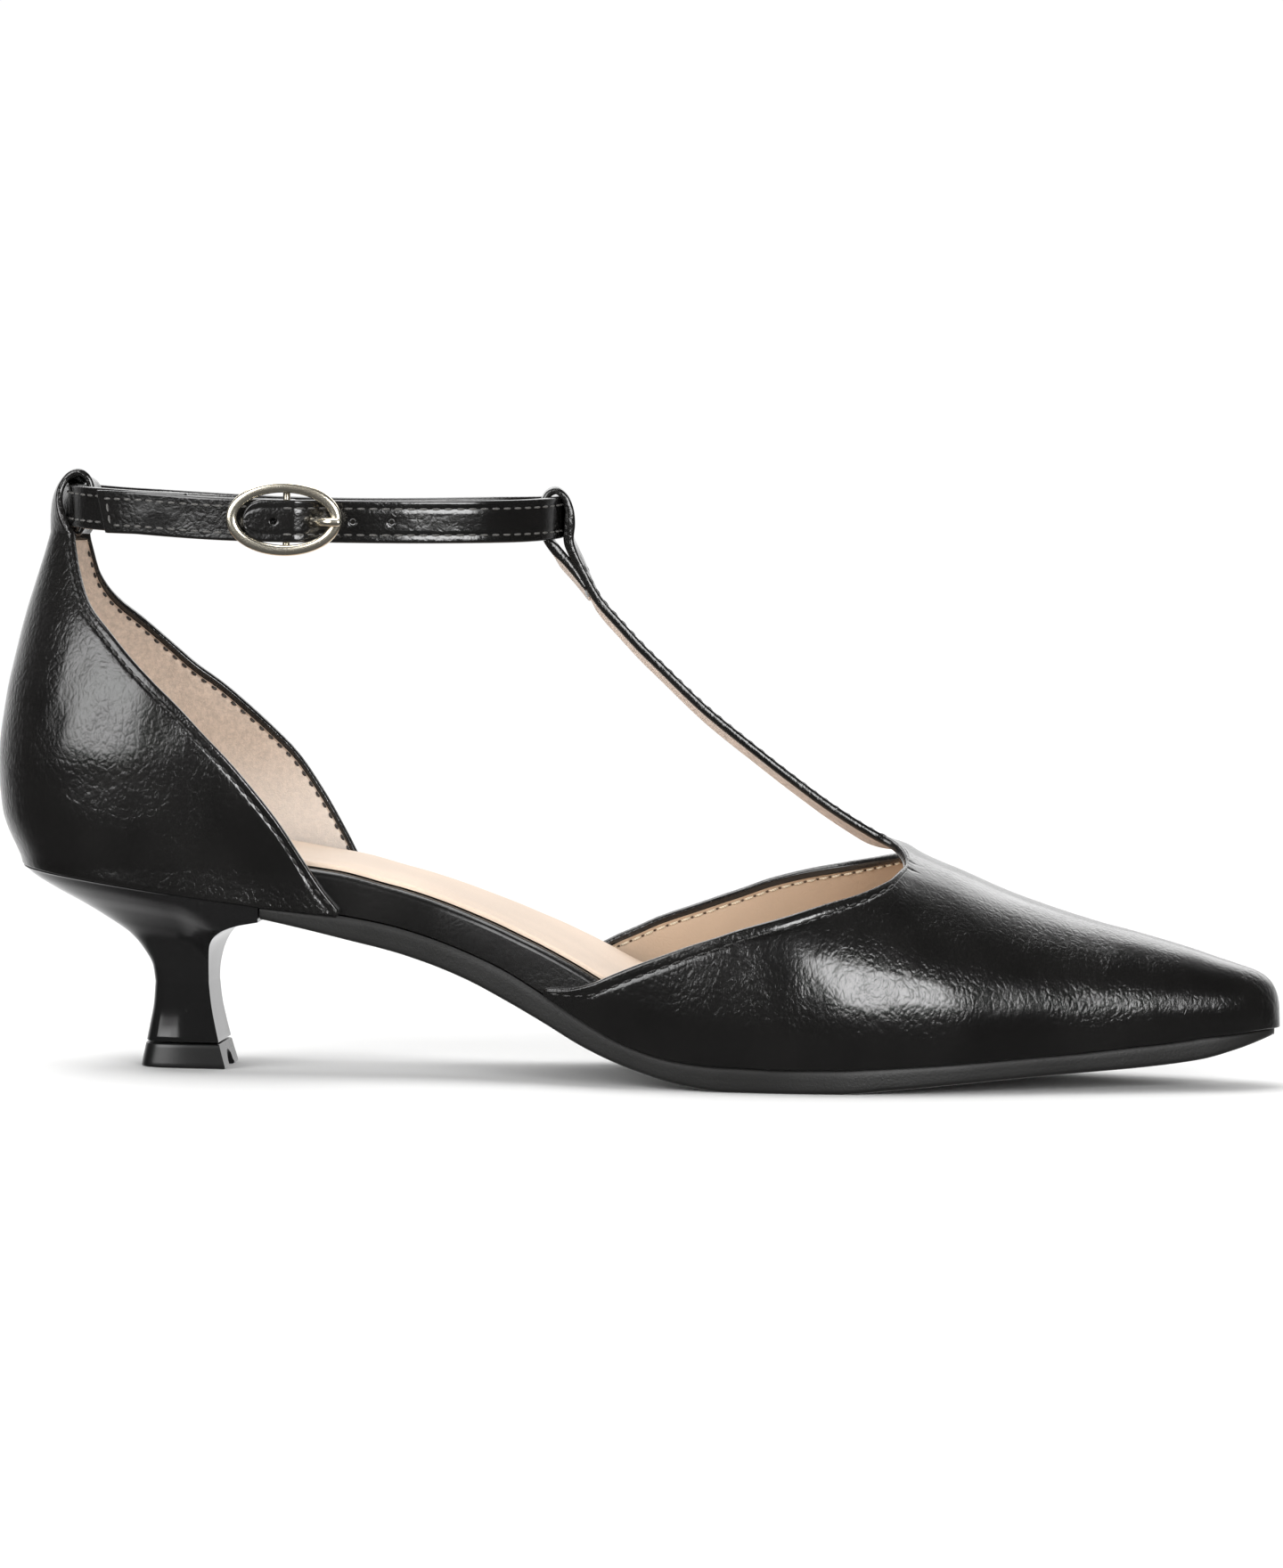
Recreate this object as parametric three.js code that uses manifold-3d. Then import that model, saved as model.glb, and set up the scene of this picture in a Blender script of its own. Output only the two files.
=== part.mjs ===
// T-strap pump for the right foot: sole, heel, padded board, open-waisted upper, ankle strap and buckle.
// Millimetres. X runs from the heel to the toe, Y from the outer to the inner side, Z up from the floor.

import * as THREE from "three";
import { mergeVertices } from "three/addons/utils/BufferGeometryUtils.js";
import Module from "manifold-3d";

const wasm = await Module();
wasm.setup();

// Lengths and widths of the whole shoe
const shoeLength = 264;
const ballWidth = 76;
const seatBack = 4.9;
const heelEndRound = 30;
const toeRound = 14;

// Heights above the floor
const seatHeight = 42;
const toeSpring = 11.3;
const strapHeight = 114;

// Sole, board and sock
const soleThickness = 5.3;
const boardThickness = 8.6;
const boardEdgeRadius = 1.8;
const sockThickness = 1;
const sockInset = 2;
const soleLip = 1;
const soleEdgeRadius = 0.9;

// Upper
const upperWall = 1.8;
const bulge = 1.6;
const quarterHeight = 67.2;
const quarterOuterLength = 73;
const quarterInnerLength = 76.5;
const throatFromHeel = 188.4;
const throatDepth = 43.3;
const throatRadius = 7;
const wingOuterLength = 72.1;
const wingInnerLength = 76.9;

// Loops at the back and at the end of the T-strap
const backLoopHeight = 13.4;
const backLoopDepth = 9.1;
const backLoopWidth = 12;
const frontLoopHeight = 14;
const frontLoopDepth = 7.3;
const loopWall = 1.4;
const tStrapWidth = 8.5;
const tStrapReach = 66.5;
const tStrapTilt = 0.4;

// Ankle strap and the short strap that holds the buckle
const ankleBack = 14.4;
const ankleFront = 114.8;
const ankleHalfWidth = 26.5;
const ankleStrapWidth = 8;
const ankleStrapThickness = 1.6;
const buckleStrapWidth = 8.1;
const buckleStrapPly = 0.9;
const buckleStrapLength = 38;

// Buckle
const buckleFromHeel = 62.2;
const buckleLength = 23.3;
const buckleHeight = 14.2;
const ringWidth = 2.2;
const ringThickness = 1.8;
const barDiameter = 1.5;
const prongDiameter = 1.7;
const holeDiameter = 1.8;
const holePitch = 7.8;

// Heel and its top piece
const breastFromHeel = 57;
const heelFootBack = 30.2;
const heelFootLength = 18.4;
const heelFootWidth = 20;
const heelNeckHeight = 17.5;
const breastLip = 3.2;
const seatLip = 0.3;
const topPieceThickness = 5;
const notchWidth = 7;
const notchHeight = 3.4;
const notchDepth = 1.2;

// Space left between two pieces that meet
const gap = 0.3;

// Last, from heel to toe. Half widths to the outer and the inner side are shares of the ball width. The
// sole's underside is lift times the seat height plus spring times the toe spring. The sole and the board
// are shares of their own thicknesses, one on top of the other.
const lastRows = [
  { at: 0.000, outer: 0.316, inner: 0.316, lift: 1.000, spring: 0.000, sole: 0.000, board: 0.895 },
  { at: 0.076, outer: 0.316, inner: 0.316, lift: 0.923, spring: 0.000, sole: 0.179, board: 1.000 },
  { at: 0.152, outer: 0.322, inner: 0.317, lift: 0.839, spring: 0.000, sole: 0.351, board: 1.081 },
  { at: 0.216, outer: 0.311, inner: 0.297, lift: 0.767, spring: 0.000, sole: 0.509, board: 1.081 },
  { at: 0.250, outer: 0.301, inner: 0.284, lift: 0.721, spring: 0.000, sole: 0.698, board: 1.035 },
  { at: 0.284, outer: 0.295, inner: 0.271, lift: 0.671, spring: 0.000, sole: 0.906, board: 0.988 },
  { at: 0.318, outer: 0.293, inner: 0.262, lift: 0.621, spring: 0.000, sole: 0.981, board: 0.919 },
  { at: 0.348, outer: 0.299, inner: 0.259, lift: 0.564, spring: 0.000, sole: 1.019, board: 0.919 },
  { at: 0.379, outer: 0.316, inner: 0.264, lift: 0.490, spring: 0.000, sole: 1.057, board: 0.930 },
  { at: 0.409, outer: 0.342, inner: 0.279, lift: 0.400, spring: 0.000, sole: 1.132, board: 0.965 },
  { at: 0.439, outer: 0.371, inner: 0.300, lift: 0.302, spring: 0.000, sole: 1.075, board: 1.081 },
  { at: 0.470, outer: 0.399, inner: 0.324, lift: 0.195, spring: 0.000, sole: 1.019, board: 1.163 },
  { at: 0.496, outer: 0.420, inner: 0.345, lift: 0.124, spring: 0.000, sole: 0.906, board: 1.151 },
  { at: 0.523, outer: 0.438, inner: 0.367, lift: 0.067, spring: 0.000, sole: 0.868, board: 1.047 },
  { at: 0.549, outer: 0.454, inner: 0.388, lift: 0.026, spring: 0.000, sole: 0.925, board: 0.884 },
  { at: 0.583, outer: 0.468, inner: 0.414, lift: 0.000, spring: 0.000, sole: 1.000, board: 0.733 },
  { at: 0.625, outer: 0.474, inner: 0.438, lift: 0.000, spring: 0.000, sole: 0.943, board: 0.651 },
  { at: 0.667, outer: 0.463, inner: 0.450, lift: 0.000, spring: 0.000, sole: 0.962, board: 0.605 },
  { at: 0.712, outer: 0.425, inner: 0.439, lift: 0.000, spring: 0.075, sole: 0.896, board: 0.558 },
  { at: 0.758, outer: 0.370, inner: 0.405, lift: 0.000, spring: 0.168, sole: 0.830, board: 0.523 },
  { at: 0.803, outer: 0.301, inner: 0.357, lift: 0.000, spring: 0.257, sole: 0.792, board: 0.500 },
  { at: 0.848, outer: 0.229, inner: 0.304, lift: 0.000, spring: 0.336, sole: 0.792, board: 0.477 },
  { at: 0.894, outer: 0.161, inner: 0.247, lift: 0.000, spring: 0.416, sole: 0.849, board: 0.442 },
  { at: 0.939, outer: 0.093, inner: 0.187, lift: 0.000, spring: 0.540, sole: 0.849, board: 0.395 },
  { at: 0.970, outer: 0.050, inner: 0.142, lift: 0.000, spring: 0.735, sole: 0.604, board: 0.372 },
  { at: 1.000, outer: 0.011, inner: 0.097, lift: 0.000, spring: 1.000, sole: 0.245, board: 0.349 },
];

// Heel cup from the seam up, heights and the back line's place as shares of the quarter's height
const cupRows = [
  { up: 0.00, back: 0.076, spread: 1.000 },
  { up: 0.16, back: 0.012, spread: 1.040 },
  { up: 0.30, back: 0.000, spread: 1.050 },
  { up: 0.50, back: 0.022, spread: 1.000 },
  { up: 0.70, back: 0.064, spread: 0.860 },
  { up: 0.92, back: 0.126, spread: 0.600 },
  { up: 1.00, back: 0.149, spread: 0.520 },
];

// Quarter's top edge above the seam, along each side's length, as shares of the quarter's height
const quarterEdgeRows = [
  { at: 0.204, outer: 1.025, inner: 1.027 },
  { at: 0.230, outer: 0.929, inner: 0.902 },
  { at: 0.270, outer: 0.836, inner: 0.836 },
  { at: 0.340, outer: 0.758, inner: 0.775 },
  { at: 0.410, outer: 0.687, inner: 0.714 },
  { at: 0.480, outer: 0.624, inner: 0.654 },
  { at: 0.550, outer: 0.563, inner: 0.607 },
  { at: 0.620, outer: 0.495, inner: 0.552 },
  { at: 0.690, outer: 0.428, inner: 0.492 },
  { at: 0.760, outer: 0.350, inner: 0.423 },
  { at: 0.830, outer: 0.263, inner: 0.321 },
  { at: 0.900, outer: 0.153, inner: 0.197 },
  { at: 0.960, outer: 0.063, inner: 0.081 },
  { at: 1.000, outer: 0.015, inner: 0.016 },
];

// Vamp from the throat to the toe: ridge height and fullest line above the seam as shares of the throat's
// depth, and the ridge's place to the inner side as a share of the ball width
const vampRows = [
  { at: 0.000, ridge: 1.000, full: 0.231, aside: 0.040 },
  { at: 0.051, ridge: 0.940, full: 0.223, aside: 0.042 },
  { at: 0.167, ridge: 0.842, full: 0.205, aside: 0.048 },
  { at: 0.282, ridge: 0.741, full: 0.194, aside: 0.053 },
  { at: 0.391, ridge: 0.657, full: 0.184, aside: 0.055 },
  { at: 0.500, ridge: 0.584, full: 0.166, aside: 0.055 },
  { at: 0.615, ridge: 0.513, full: 0.151, aside: 0.053 },
  { at: 0.731, ridge: 0.434, full: 0.132, aside: 0.050 },
  { at: 0.841, ridge: 0.346, full: 0.114, aside: 0.047 },
  { at: 0.897, ridge: 0.307, full: 0.106, aside: 0.045 },
  { at: 1.000, ridge: 0.238, full: 0.092, aside: 0.043 },
];

// T-strap from the throat back to its loop: rise as a share of the climb to the loop
const tStrapRows = [
  { at: 0.066, rise: 0.036 },
  { at: 0.200, rise: 0.128 },
  { at: 0.332, rise: 0.236 },
  { at: 0.466, rise: 0.354 },
  { at: 0.600, rise: 0.477 },
  { at: 0.666, rise: 0.547 },
  { at: 0.734, rise: 0.623 },
  { at: 0.800, rise: 0.696 },
  { at: 0.868, rise: 0.780 },
  { at: 0.934, rise: 0.866 },
  { at: 0.974, rise: 0.943 },
  { at: 1.000, rise: 1.000 },
];

// Top edge of the two wings above the seam, from their ends to the throat, as shares of the throat's depth
const wingRows = [
  { at: 0.00, outer: 0.025, inner: 0.026 },
  { at: 0.05, outer: 0.077, inner: 0.081 },
  { at: 0.12, outer: 0.169, inner: 0.196 },
  { at: 0.20, outer: 0.297, inner: 0.344 },
  { at: 0.30, outer: 0.429, inner: 0.504 },
  { at: 0.40, outer: 0.528, inner: 0.617 },
  { at: 0.50, outer: 0.601, inner: 0.703 },
  { at: 0.60, outer: 0.661, inner: 0.774 },
  { at: 0.70, outer: 0.714, inner: 0.828 },
  { at: 0.80, outer: 0.766, inner: 0.864 },
  { at: 0.90, outer: 0.813, inner: 0.903 },
  { at: 1.00, outer: 0.882, inner: 0.939 },
];

// Outer line of the T-strap's loop around the ankle strap, as shares of the loop's depth and height from
// the middle of the loop, with its wall as a share of the loop wall
const frontLoopRows = [
  { ahead: 0.466, up: -0.335, wall: 1.2 },
  { ahead: 0.493, up: -0.071, wall: 1.15 },
  { ahead: 0.438, up: 0.157, wall: 1.1 },
  { ahead: 0.260, up: 0.350, wall: 1.05 },
  { ahead: -0.027, up: 0.450, wall: 1 },
  { ahead: -0.301, up: 0.400, wall: 1 },
  { ahead: -0.466, up: 0.257, wall: 1 },
  { ahead: -0.507, up: 0.036, wall: 1 },
  { ahead: -0.493, up: -0.143, wall: 1 },
  { ahead: -0.420, up: -0.310, wall: 1 },
  { ahead: -0.180, up: -0.500, wall: 1 },
  { ahead: 0.120, up: -0.665, wall: 1 },
  { ahead: 0.420, up: -0.865, wall: 1 },
  { ahead: 0.700, up: -1.050, wall: 1 },
];

// Outer line of the back loop over the ankle strap, as shares of the loop's depth and height from the
// quarter's top edge at its back line
const backLoopRows = [
  { ahead: 0.005, up: 0.280, wall: 1.1, bow: 0.7 },
  { ahead: 0.060, up: 0.545, wall: 1.05, bow: 0.5 },
  { ahead: 0.203, up: 0.776, wall: 1, bow: 0.35 },
  { ahead: 0.423, up: 0.948, wall: 1, bow: 0.3 },
  { ahead: 0.665, up: 1.000, wall: 1, bow: 0.3 },
  { ahead: 0.885, up: 0.925, wall: 1, bow: 0.3 },
  { ahead: 1.000, up: 0.746, wall: 1, bow: 0.35 },
  { ahead: 1.005, up: 0.507, wall: 1, bow: 0.4 },
  { ahead: 0.930, up: 0.269, wall: 0.95, bow: 0.45 },
  { ahead: 0.800, up: 0.120, wall: 0.9, bow: 0.5 },
  { ahead: 0.660, up: -0.010, wall: 0.8, bow: 0.6 },
];

// Heel below its flare: height, back and breast as shares of the foot's length, half width of the foot's
const heelRows = [
  { up: 0.00, back: 0.000, breast: 1.000, wide: 1.00 },
  { up: 0.25, back: 0.050, breast: 0.930, wide: 0.94 },
  { up: 0.50, back: 0.095, breast: 0.870, wide: 0.88 },
  { up: 0.75, back: 0.135, breast: 0.820, wide: 0.84 },
  { up: 1.00, back: 0.150, breast: 0.790, wide: 0.83 },
];

// Heel's flare from its neck to the seat edge: how far out at each share of the height, at the back and
// sides and at the breast
const flareRows = [
  { up: 0.14, out: 0.020, breast: 0.000 },
  { up: 0.28, out: 0.086, breast: 0.010 },
  { up: 0.42, out: 0.190, breast: 0.030 },
  { up: 0.56, out: 0.366, breast: 0.070 },
  { up: 0.70, out: 0.570, breast: 0.160 },
  { up: 0.83, out: 0.780, breast: 0.340 },
  { up: 0.93, out: 0.920, breast: 0.620 },
  { up: 1.00, out: 0.990, breast: 1.000 },
];

// Middle height of the ankle strap along its turn, as steps above the strap height in shares of its width
const ankleRows = [
  { turn: -0.36, up: 0.05 },
  { turn: -0.28, up: -0.06 },
  { turn: -0.22, up: -0.07 },
  { turn: -0.10, up: -0.04 },
  { turn: 0.00, up: 0.02 },
  { turn: 0.12, up: -0.10 },
  { turn: 0.25, up: -0.23 },
  { turn: 0.38, up: -0.04 },
  { turn: 0.50, up: 0.15 },
  { turn: 0.60, up: 0.10 },
  { turn: 0.72, up: 0.00 },
];

// Curve without overshoot through knots of place and value
function smooth(knots) {
  const step = [];
  for (let k = 0; k + 1 < knots.length; k += 1) {
    step.push((knots[k + 1][1] - knots[k][1]) / (knots[k + 1][0] - knots[k][0]));
  }
  const slope = knots.map((knot, k) => {
    if (k === 0) return step[0];
    if (k === step.length) return step[k - 1];
    if (step[k - 1] * step[k] <= 0) return 0;
    return (2 * step[k - 1] * step[k]) / (step[k - 1] + step[k]);
  });
  return (place) => {
    const last = knots.length - 1;
    if (place <= knots[0][0]) return knots[0][1];
    if (place >= knots[last][0]) return knots[last][1];
    let k = 0;
    while (place > knots[k + 1][0]) k += 1;
    const length = knots[k + 1][0] - knots[k][0];
    const t = (place - knots[k][0]) / length;
    const u = 1 - t;
    return knots[k][1] * u * u * (1 + 2 * t) + knots[k + 1][1] * t * t * (1 + 2 * u)
      + length * t * u * (slope[k] * u - slope[k + 1] * t);
  };
}

function column(rows, place, value) {
  return smooth(rows.map((row) => [row[place], row[value]]));
}

function mix(a, b, t) {
  return a * (1 - t) + b * t;
}

function fade(value, from, to) {
  return THREE.MathUtils.smoothstep(value, from, to);
}

// Last

const outerShare = column(lastRows, "at", "outer");
const innerShare = column(lastRows, "at", "inner");
const liftShare = column(lastRows, "at", "lift");
const springShare = column(lastRows, "at", "spring");
const soleShare = column(lastRows, "at", "sole");
const boardShare = column(lastRows, "at", "board");

function underside(x) {
  const at = x / shoeLength;
  return seatHeight * liftShare(at) + toeSpring * springShare(at);
}

function seam(x) {
  return underside(x) + soleThickness * soleShare(x / shoeLength);
}

// Lower edge of the upper and of the board, over the sole's and the heel's top by the gap
function upperFoot(x) {
  return seam(x) + gap / 2;
}

function boardTop(x) {
  return seam(x) + boardThickness * boardShare(x / shoeLength);
}

function backRounding(t) {
  if (t >= 1) return 1;
  return (1 - Math.max(1 - Math.max(t, 0), 0) ** 2.2) ** (1 / 2.2);
}

function toeRounding(t) {
  return Math.sqrt(Math.max(1 - Math.max(t, 0) ** 3, 0));
}

function toeDrop(t) {
  return Math.cbrt(Math.max(1 - Math.max(t, 0) ** 6, 0));
}

// Board's outline is set in from the upper's by its wall and the gap
const upperStep = upperWall + gap;

function outlineBack(grow) {
  return seatBack + upperStep - grow;
}

function outlineToe(grow) {
  return shoeLength - upperStep + grow;
}

function toeShare(x, grow) {
  return (x - outlineToe(grow) + toeRound) / toeRound;
}

// Edge of the board's outline at one side, grown outward
function outline(x, side, grow) {
  const outer = outerShare(x / shoeLength);
  const inner = innerShare(x / shoeLength);
  const middle = ballWidth * (inner - outer) / 2;
  const half = ballWidth * (inner + outer) / 2 + grow;
  const back = backRounding((x - outlineBack(grow)) / (heelEndRound + grow));
  return middle + side * half * back * toeRounding(toeShare(x, grow));
}

// Solids from faces

function bridge(faces, from, to) {
  for (let k = 0; k + 1 < from.length; k += 1) {
    faces.push([from[k], to[k], to[k + 1]], [from[k], to[k + 1], from[k + 1]]);
  }
}

// Fills a ring of points across, between the points that face each other
function ladder(faces, ring) {
  for (let k = 0, j = ring.length - 1; k + 1 <= j - 1; k += 1, j -= 1) {
    faces.push([ring[k], ring[k + 1], ring[j - 1]], [ring[k], ring[j - 1], ring[j]]);
  }
}

function solidOf(faces) {
  const index = new Map();
  const points = [];
  const corner = (point) => {
    const key = `${Math.round(point.x * 1e4)},${Math.round(point.y * 1e4)},${Math.round(point.z * 1e4)}`;
    if (!index.has(key)) {
      index.set(key, points.length / 3);
      points.push(point.x, point.y, point.z);
    }
    return index.get(key);
  };
  let volume = 0;
  const triangles = [];
  for (const [a, b, c] of faces) {
    const face = [corner(a), corner(b), corner(c)];
    if (new Set(face).size < 3) continue;
    volume += a.dot(b.clone().cross(c));
    triangles.push(face);
  }
  const facing = volume < 0 ? triangles.map(([a, b, c]) => [a, c, b]) : triangles;
  return new wasm.Manifold(new wasm.Mesh({
    numProp: 3,
    vertProperties: new Float32Array(points),
    triVerts: new Uint32Array(facing.flat()),
  }));
}

// Solid through closed rings of points, filled across at both ends or joined end to end
function loft(rings, endless) {
  const faces = [];
  const closed = rings.map((ring) => [...ring, ring[0]]);
  for (let k = 0; k + 1 < closed.length; k += 1) bridge(faces, closed[k], closed[k + 1]);
  if (endless) {
    bridge(faces, closed[closed.length - 1], closed[0]);
  } else {
    ladder(faces, rings[0]);
    ladder(faces, [...rings[rings.length - 1]].reverse());
  }
  return solidOf(faces);
}

// Outer and inner skins of a sheet, and the walls along the edges that are free
function sheet(faces, outer, inner, free) {
  const columnOf = (grid, k, rows) => grid.slice(rows[0], rows[1] + 1).map((row) => row[k]);
  const end = outer.length - 1;
  for (let k = 0; k < end; k += 1) {
    bridge(faces, outer[k], outer[k + 1]);
    bridge(faces, inner[k + 1], inner[k]);
  }
  if (free.first) bridge(faces, inner[0], outer[0]);
  if (free.last) bridge(faces, outer[end], inner[end]);
  for (const rows of free.left) bridge(faces, columnOf(outer, 0, rows), columnOf(inner, 0, rows));
  const side = outer[0].length - 1;
  for (const rows of free.right) bridge(faces, columnOf(inner, side, rows), columnOf(outer, side, rows));
}

// Point under a surface, along its inward normal
function under(surface, u, v, depth, steps) {
  const alongU = surface(u + steps[0], v).sub(surface(u - steps[0], v));
  const alongV = surface(u, v + steps[1]).sub(surface(u, v - steps[1]));
  const inward = alongU.cross(alongV).normalize();
  return surface(u, v).addScaledVector(inward, depth);
}

function geometryOf(solid) {
  const mesh = solid.getMesh();
  const positions = new Float32Array(mesh.numVert * 3);
  for (let k = 0; k < mesh.numVert; k += 1) {
    for (let axis = 0; axis < 3; axis += 1) {
      positions[k * 3 + axis] = mesh.vertProperties[k * mesh.numProp + axis];
    }
  }
  const geometry = new THREE.BufferGeometry();
  geometry.setAttribute("position", new THREE.BufferAttribute(positions, 3));
  geometry.setIndex([...mesh.triVerts]);
  return geometry;
}

function solidOfGeometry(geometry) {
  geometry.deleteAttribute("normal");
  geometry.deleteAttribute("uv");
  const merged = mergeVertices(geometry, 1e-4);
  return new wasm.Manifold(new wasm.Mesh({
    numProp: 3,
    vertProperties: new Float32Array(merged.attributes.position.array),
    triVerts: new Uint32Array(merged.index.array),
  }));
}

function part(name, solid, color, roughness, metalness) {
  const mesh = new THREE.Mesh(
    geometryOf(solid),
    new THREE.MeshStandardMaterial({ color, roughness, metalness }),
  );
  mesh.name = name;
  return mesh;
}

// Places along the last, the same for every piece, with more of them in the rounded ends
function lastPlaces(from, to, backRound) {
  const places = [from, to];
  for (let k = 1; k < lastRows.length; k += 1) {
    places.push(lastRows[k].at * shoeLength);
  }
  for (let k = 1; k < 8; k += 1) {
    places.push(to - toeRound * (1 - Math.sin((k * Math.PI) / 16)));
    if (backRound) places.push(from + heelEndRound * (1 - Math.cos((k * Math.PI) / 16)));
  }
  const inside = places.filter((x) => x >= from && x <= to).sort((a, b) => a - b);
  return inside.filter((x, k) => k === 0 || k === inside.length - 1 || inside[k + 1] - x > 0.08);
}

// Section across the shoe with rounded upper corners, from the outer to the inner side
function slabSection(x, grow, bottom, top, radius, facets) {
  const outer = outline(x, -1, grow);
  const inner = outline(x, 1, grow);
  const corner = Math.min(radius, (inner - outer) * 0.45, (top - bottom) * 0.45);
  const ring = [new THREE.Vector3(x, outer, bottom)];
  for (let k = 0; k <= facets; k += 1) {
    const angle = (k * Math.PI) / (2 * facets);
    ring.push(new THREE.Vector3(
      x,
      outer + corner * (1 - Math.cos(angle)),
      top - corner * (1 - Math.sin(angle)),
    ));
  }
  for (let k = facets; k >= 0; k -= 1) {
    const angle = (k * Math.PI) / (2 * facets);
    ring.push(new THREE.Vector3(
      x,
      inner - corner * (1 - Math.cos(angle)),
      top - corner * (1 - Math.sin(angle)),
    ));
  }
  ring.push(new THREE.Vector3(x, inner, bottom));
  return ring;
}

function outsole() {
  const start = breastFromHeel + gap;
  const end = outlineToe(soleLip) - 0.05;
  const rings = lastPlaces(start, end, false).map((x) => {
    const low = underside(x);
    const high = seam(x) - gap / 2;
    const edge = Math.min(soleEdgeRadius, (high - low) * 0.4);
    const point = (side, inset, z) => new THREE.Vector3(x, outline(x, side, soleLip - inset), z);
    return [
      point(-1, edge, low),
      point(-1, edge * 0.3, low + edge * 0.3),
      point(-1, 0, low + edge),
      point(-1, 0, high),
      point(1, 0, high),
      point(1, 0, low + edge),
      point(1, edge * 0.3, low + edge * 0.3),
      point(1, edge, low),
    ];
  });
  return loft(rings, false);
}

function insoleBoard() {
  const start = outlineBack(0) + 0.1;
  const end = outlineToe(0) - 0.1;
  const rings = lastPlaces(start, end, true).map((x) => (
    slabSection(x, 0, upperFoot(x), boardTop(x), boardEdgeRadius, 3)
  ));
  return loft(rings, false);
}

function insoleSock() {
  const start = outlineBack(-sockInset) + 0.1;
  const end = outlineToe(-sockInset) - 0.1;
  const rings = lastPlaces(start, end, true).map((x) => {
    const low = boardTop(x) + gap;
    return slabSection(x, -sockInset, low, low + sockThickness, sockThickness * 0.4, 1);
  });
  return loft(rings, false);
}

// Heel

const heelBackShare = column(heelRows, "up", "back");
const heelBreastShare = column(heelRows, "up", "breast");
const heelWideShare = column(heelRows, "up", "wide");

const heelTurns = 9;

// Section of the heel's shank at one height, from the breast's outer corner round the back
function shankRing(z, inset) {
  const up = z / heelNeckHeight;
  const back = heelFootBack + heelFootLength * heelBackShare(up) + inset;
  const breast = heelFootBack + heelFootLength * heelBreastShare(up) - inset;
  const half = (heelFootWidth / 2) * heelWideShare(up) - inset;
  const ring = [];
  for (let k = -heelTurns; k <= heelTurns; k += 1) {
    const t = 1 - Math.cos((Math.abs(k) / heelTurns) * (Math.PI / 2));
    const wide = (1 - (1 - t) ** 3) ** (1 / 3);
    ring.push(new THREE.Vector3(mix(back, breast, t), Math.sign(k) * half * wide, z));
  }
  return ring;
}

// Seat edge of the heel, in the same order as the shank's sections
function seatRing() {
  const grow = upperStep - gap;
  const ring = [];
  for (let k = -heelTurns; k <= heelTurns; k += 1) {
    const t = 1 - Math.cos((Math.abs(k) / heelTurns) * (Math.PI / 2));
    const x = mix(outlineBack(grow), breastFromHeel, t);
    ring.push(new THREE.Vector3(x, outline(x, Math.sign(k), grow), seam(x) - gap / 2));
  }
  return ring;
}

function topPiece() {
  const rings = [
    shankRing(0, 0.5),
    shankRing(0.15, 0.15),
    shankRing(0.5, 0),
    shankRing(topPieceThickness / 2, 0),
    shankRing(topPieceThickness, 0),
  ];
  const notch = new THREE.Shape();
  notch.moveTo(-notchWidth / 2, -1);
  notch.lineTo(notchWidth / 2, -1);
  notch.lineTo(notchWidth / 2, notchHeight - notchWidth / 2);
  notch.absarc(0, notchHeight - notchWidth / 2, notchWidth / 2, 0, Math.PI, false);
  notch.lineTo(-notchWidth / 2, -1);
  const cutter = new THREE.ExtrudeGeometry(notch, { depth: 4, bevelEnabled: false, curveSegments: 8 });
  cutter.rotateX(Math.PI / 2);
  cutter.rotateZ(Math.PI / 2);
  cutter.translate(heelFootBack + heelFootLength * heelBreastShare(0) - notchDepth, 0, 0);
  return loft(rings, false).subtract(solidOfGeometry(cutter));
}

function heel() {
  const seat = seatRing();
  const neck = shankRing(heelNeckHeight, 0);
  const rings = [];
  for (let k = 0; k <= 4; k += 1) {
    rings.push(shankRing(mix(topPieceThickness + gap, heelNeckHeight, k / 4), 0));
  }
  for (const row of flareRows) {
    rings.push(seat.map((rim, k) => {
      const front = Math.abs(k - heelTurns) / heelTurns;
      const lip = mix(seatLip, breastLip, fade(front, 0.75, 1));
      const low = neck[k];
      return new THREE.Vector3(
        mix(low.x, rim.x, mix(row.out, row.breast, front ** 3)),
        mix(low.y, rim.y, row.out),
        mix(low.z, rim.z - lip, row.up),
      );
    }));
  }
  rings.push(seat);
  return loft(rings, false);
}

// Quarter

const cupBack = column(cupRows, "up", "back");
const cupSpread = column(cupRows, "up", "spread");
const quarterEdge = {
  outer: column(quarterEdgeRows, "at", "outer"),
  inner: column(quarterEdgeRows, "at", "inner"),
};
const quarterTop = seatHeight + quarterHeight;

function cupShift(z) {
  const up = Math.min(Math.max((z - seatHeight) / quarterHeight, 0), 1);
  return quarterHeight * (cupBack(up) - cupBack(0));
}

function cupPoint(base, side, z) {
  const reach = Math.max(1 - (base - seatBack) / (2 * heelEndRound), 0) ** 2;
  const up = Math.min(Math.max((z - seatHeight) / quarterHeight, 0), 1);
  return new THREE.Vector3(
    base + cupShift(z) * reach,
    outline(base, side, upperStep) * cupSpread(up),
    z,
  );
}

// Place on the seam line below a point of the top edge
function cupBase(x, z) {
  let base = x;
  for (let k = 0; k < 20; k += 1) {
    const reach = Math.max(1 - (base - seatBack) / (2 * heelEndRound), 0) ** 2;
    base = x - cupShift(z) * reach;
  }
  return Math.max(base, seatBack);
}

const cornerTurn = 0.22;

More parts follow.
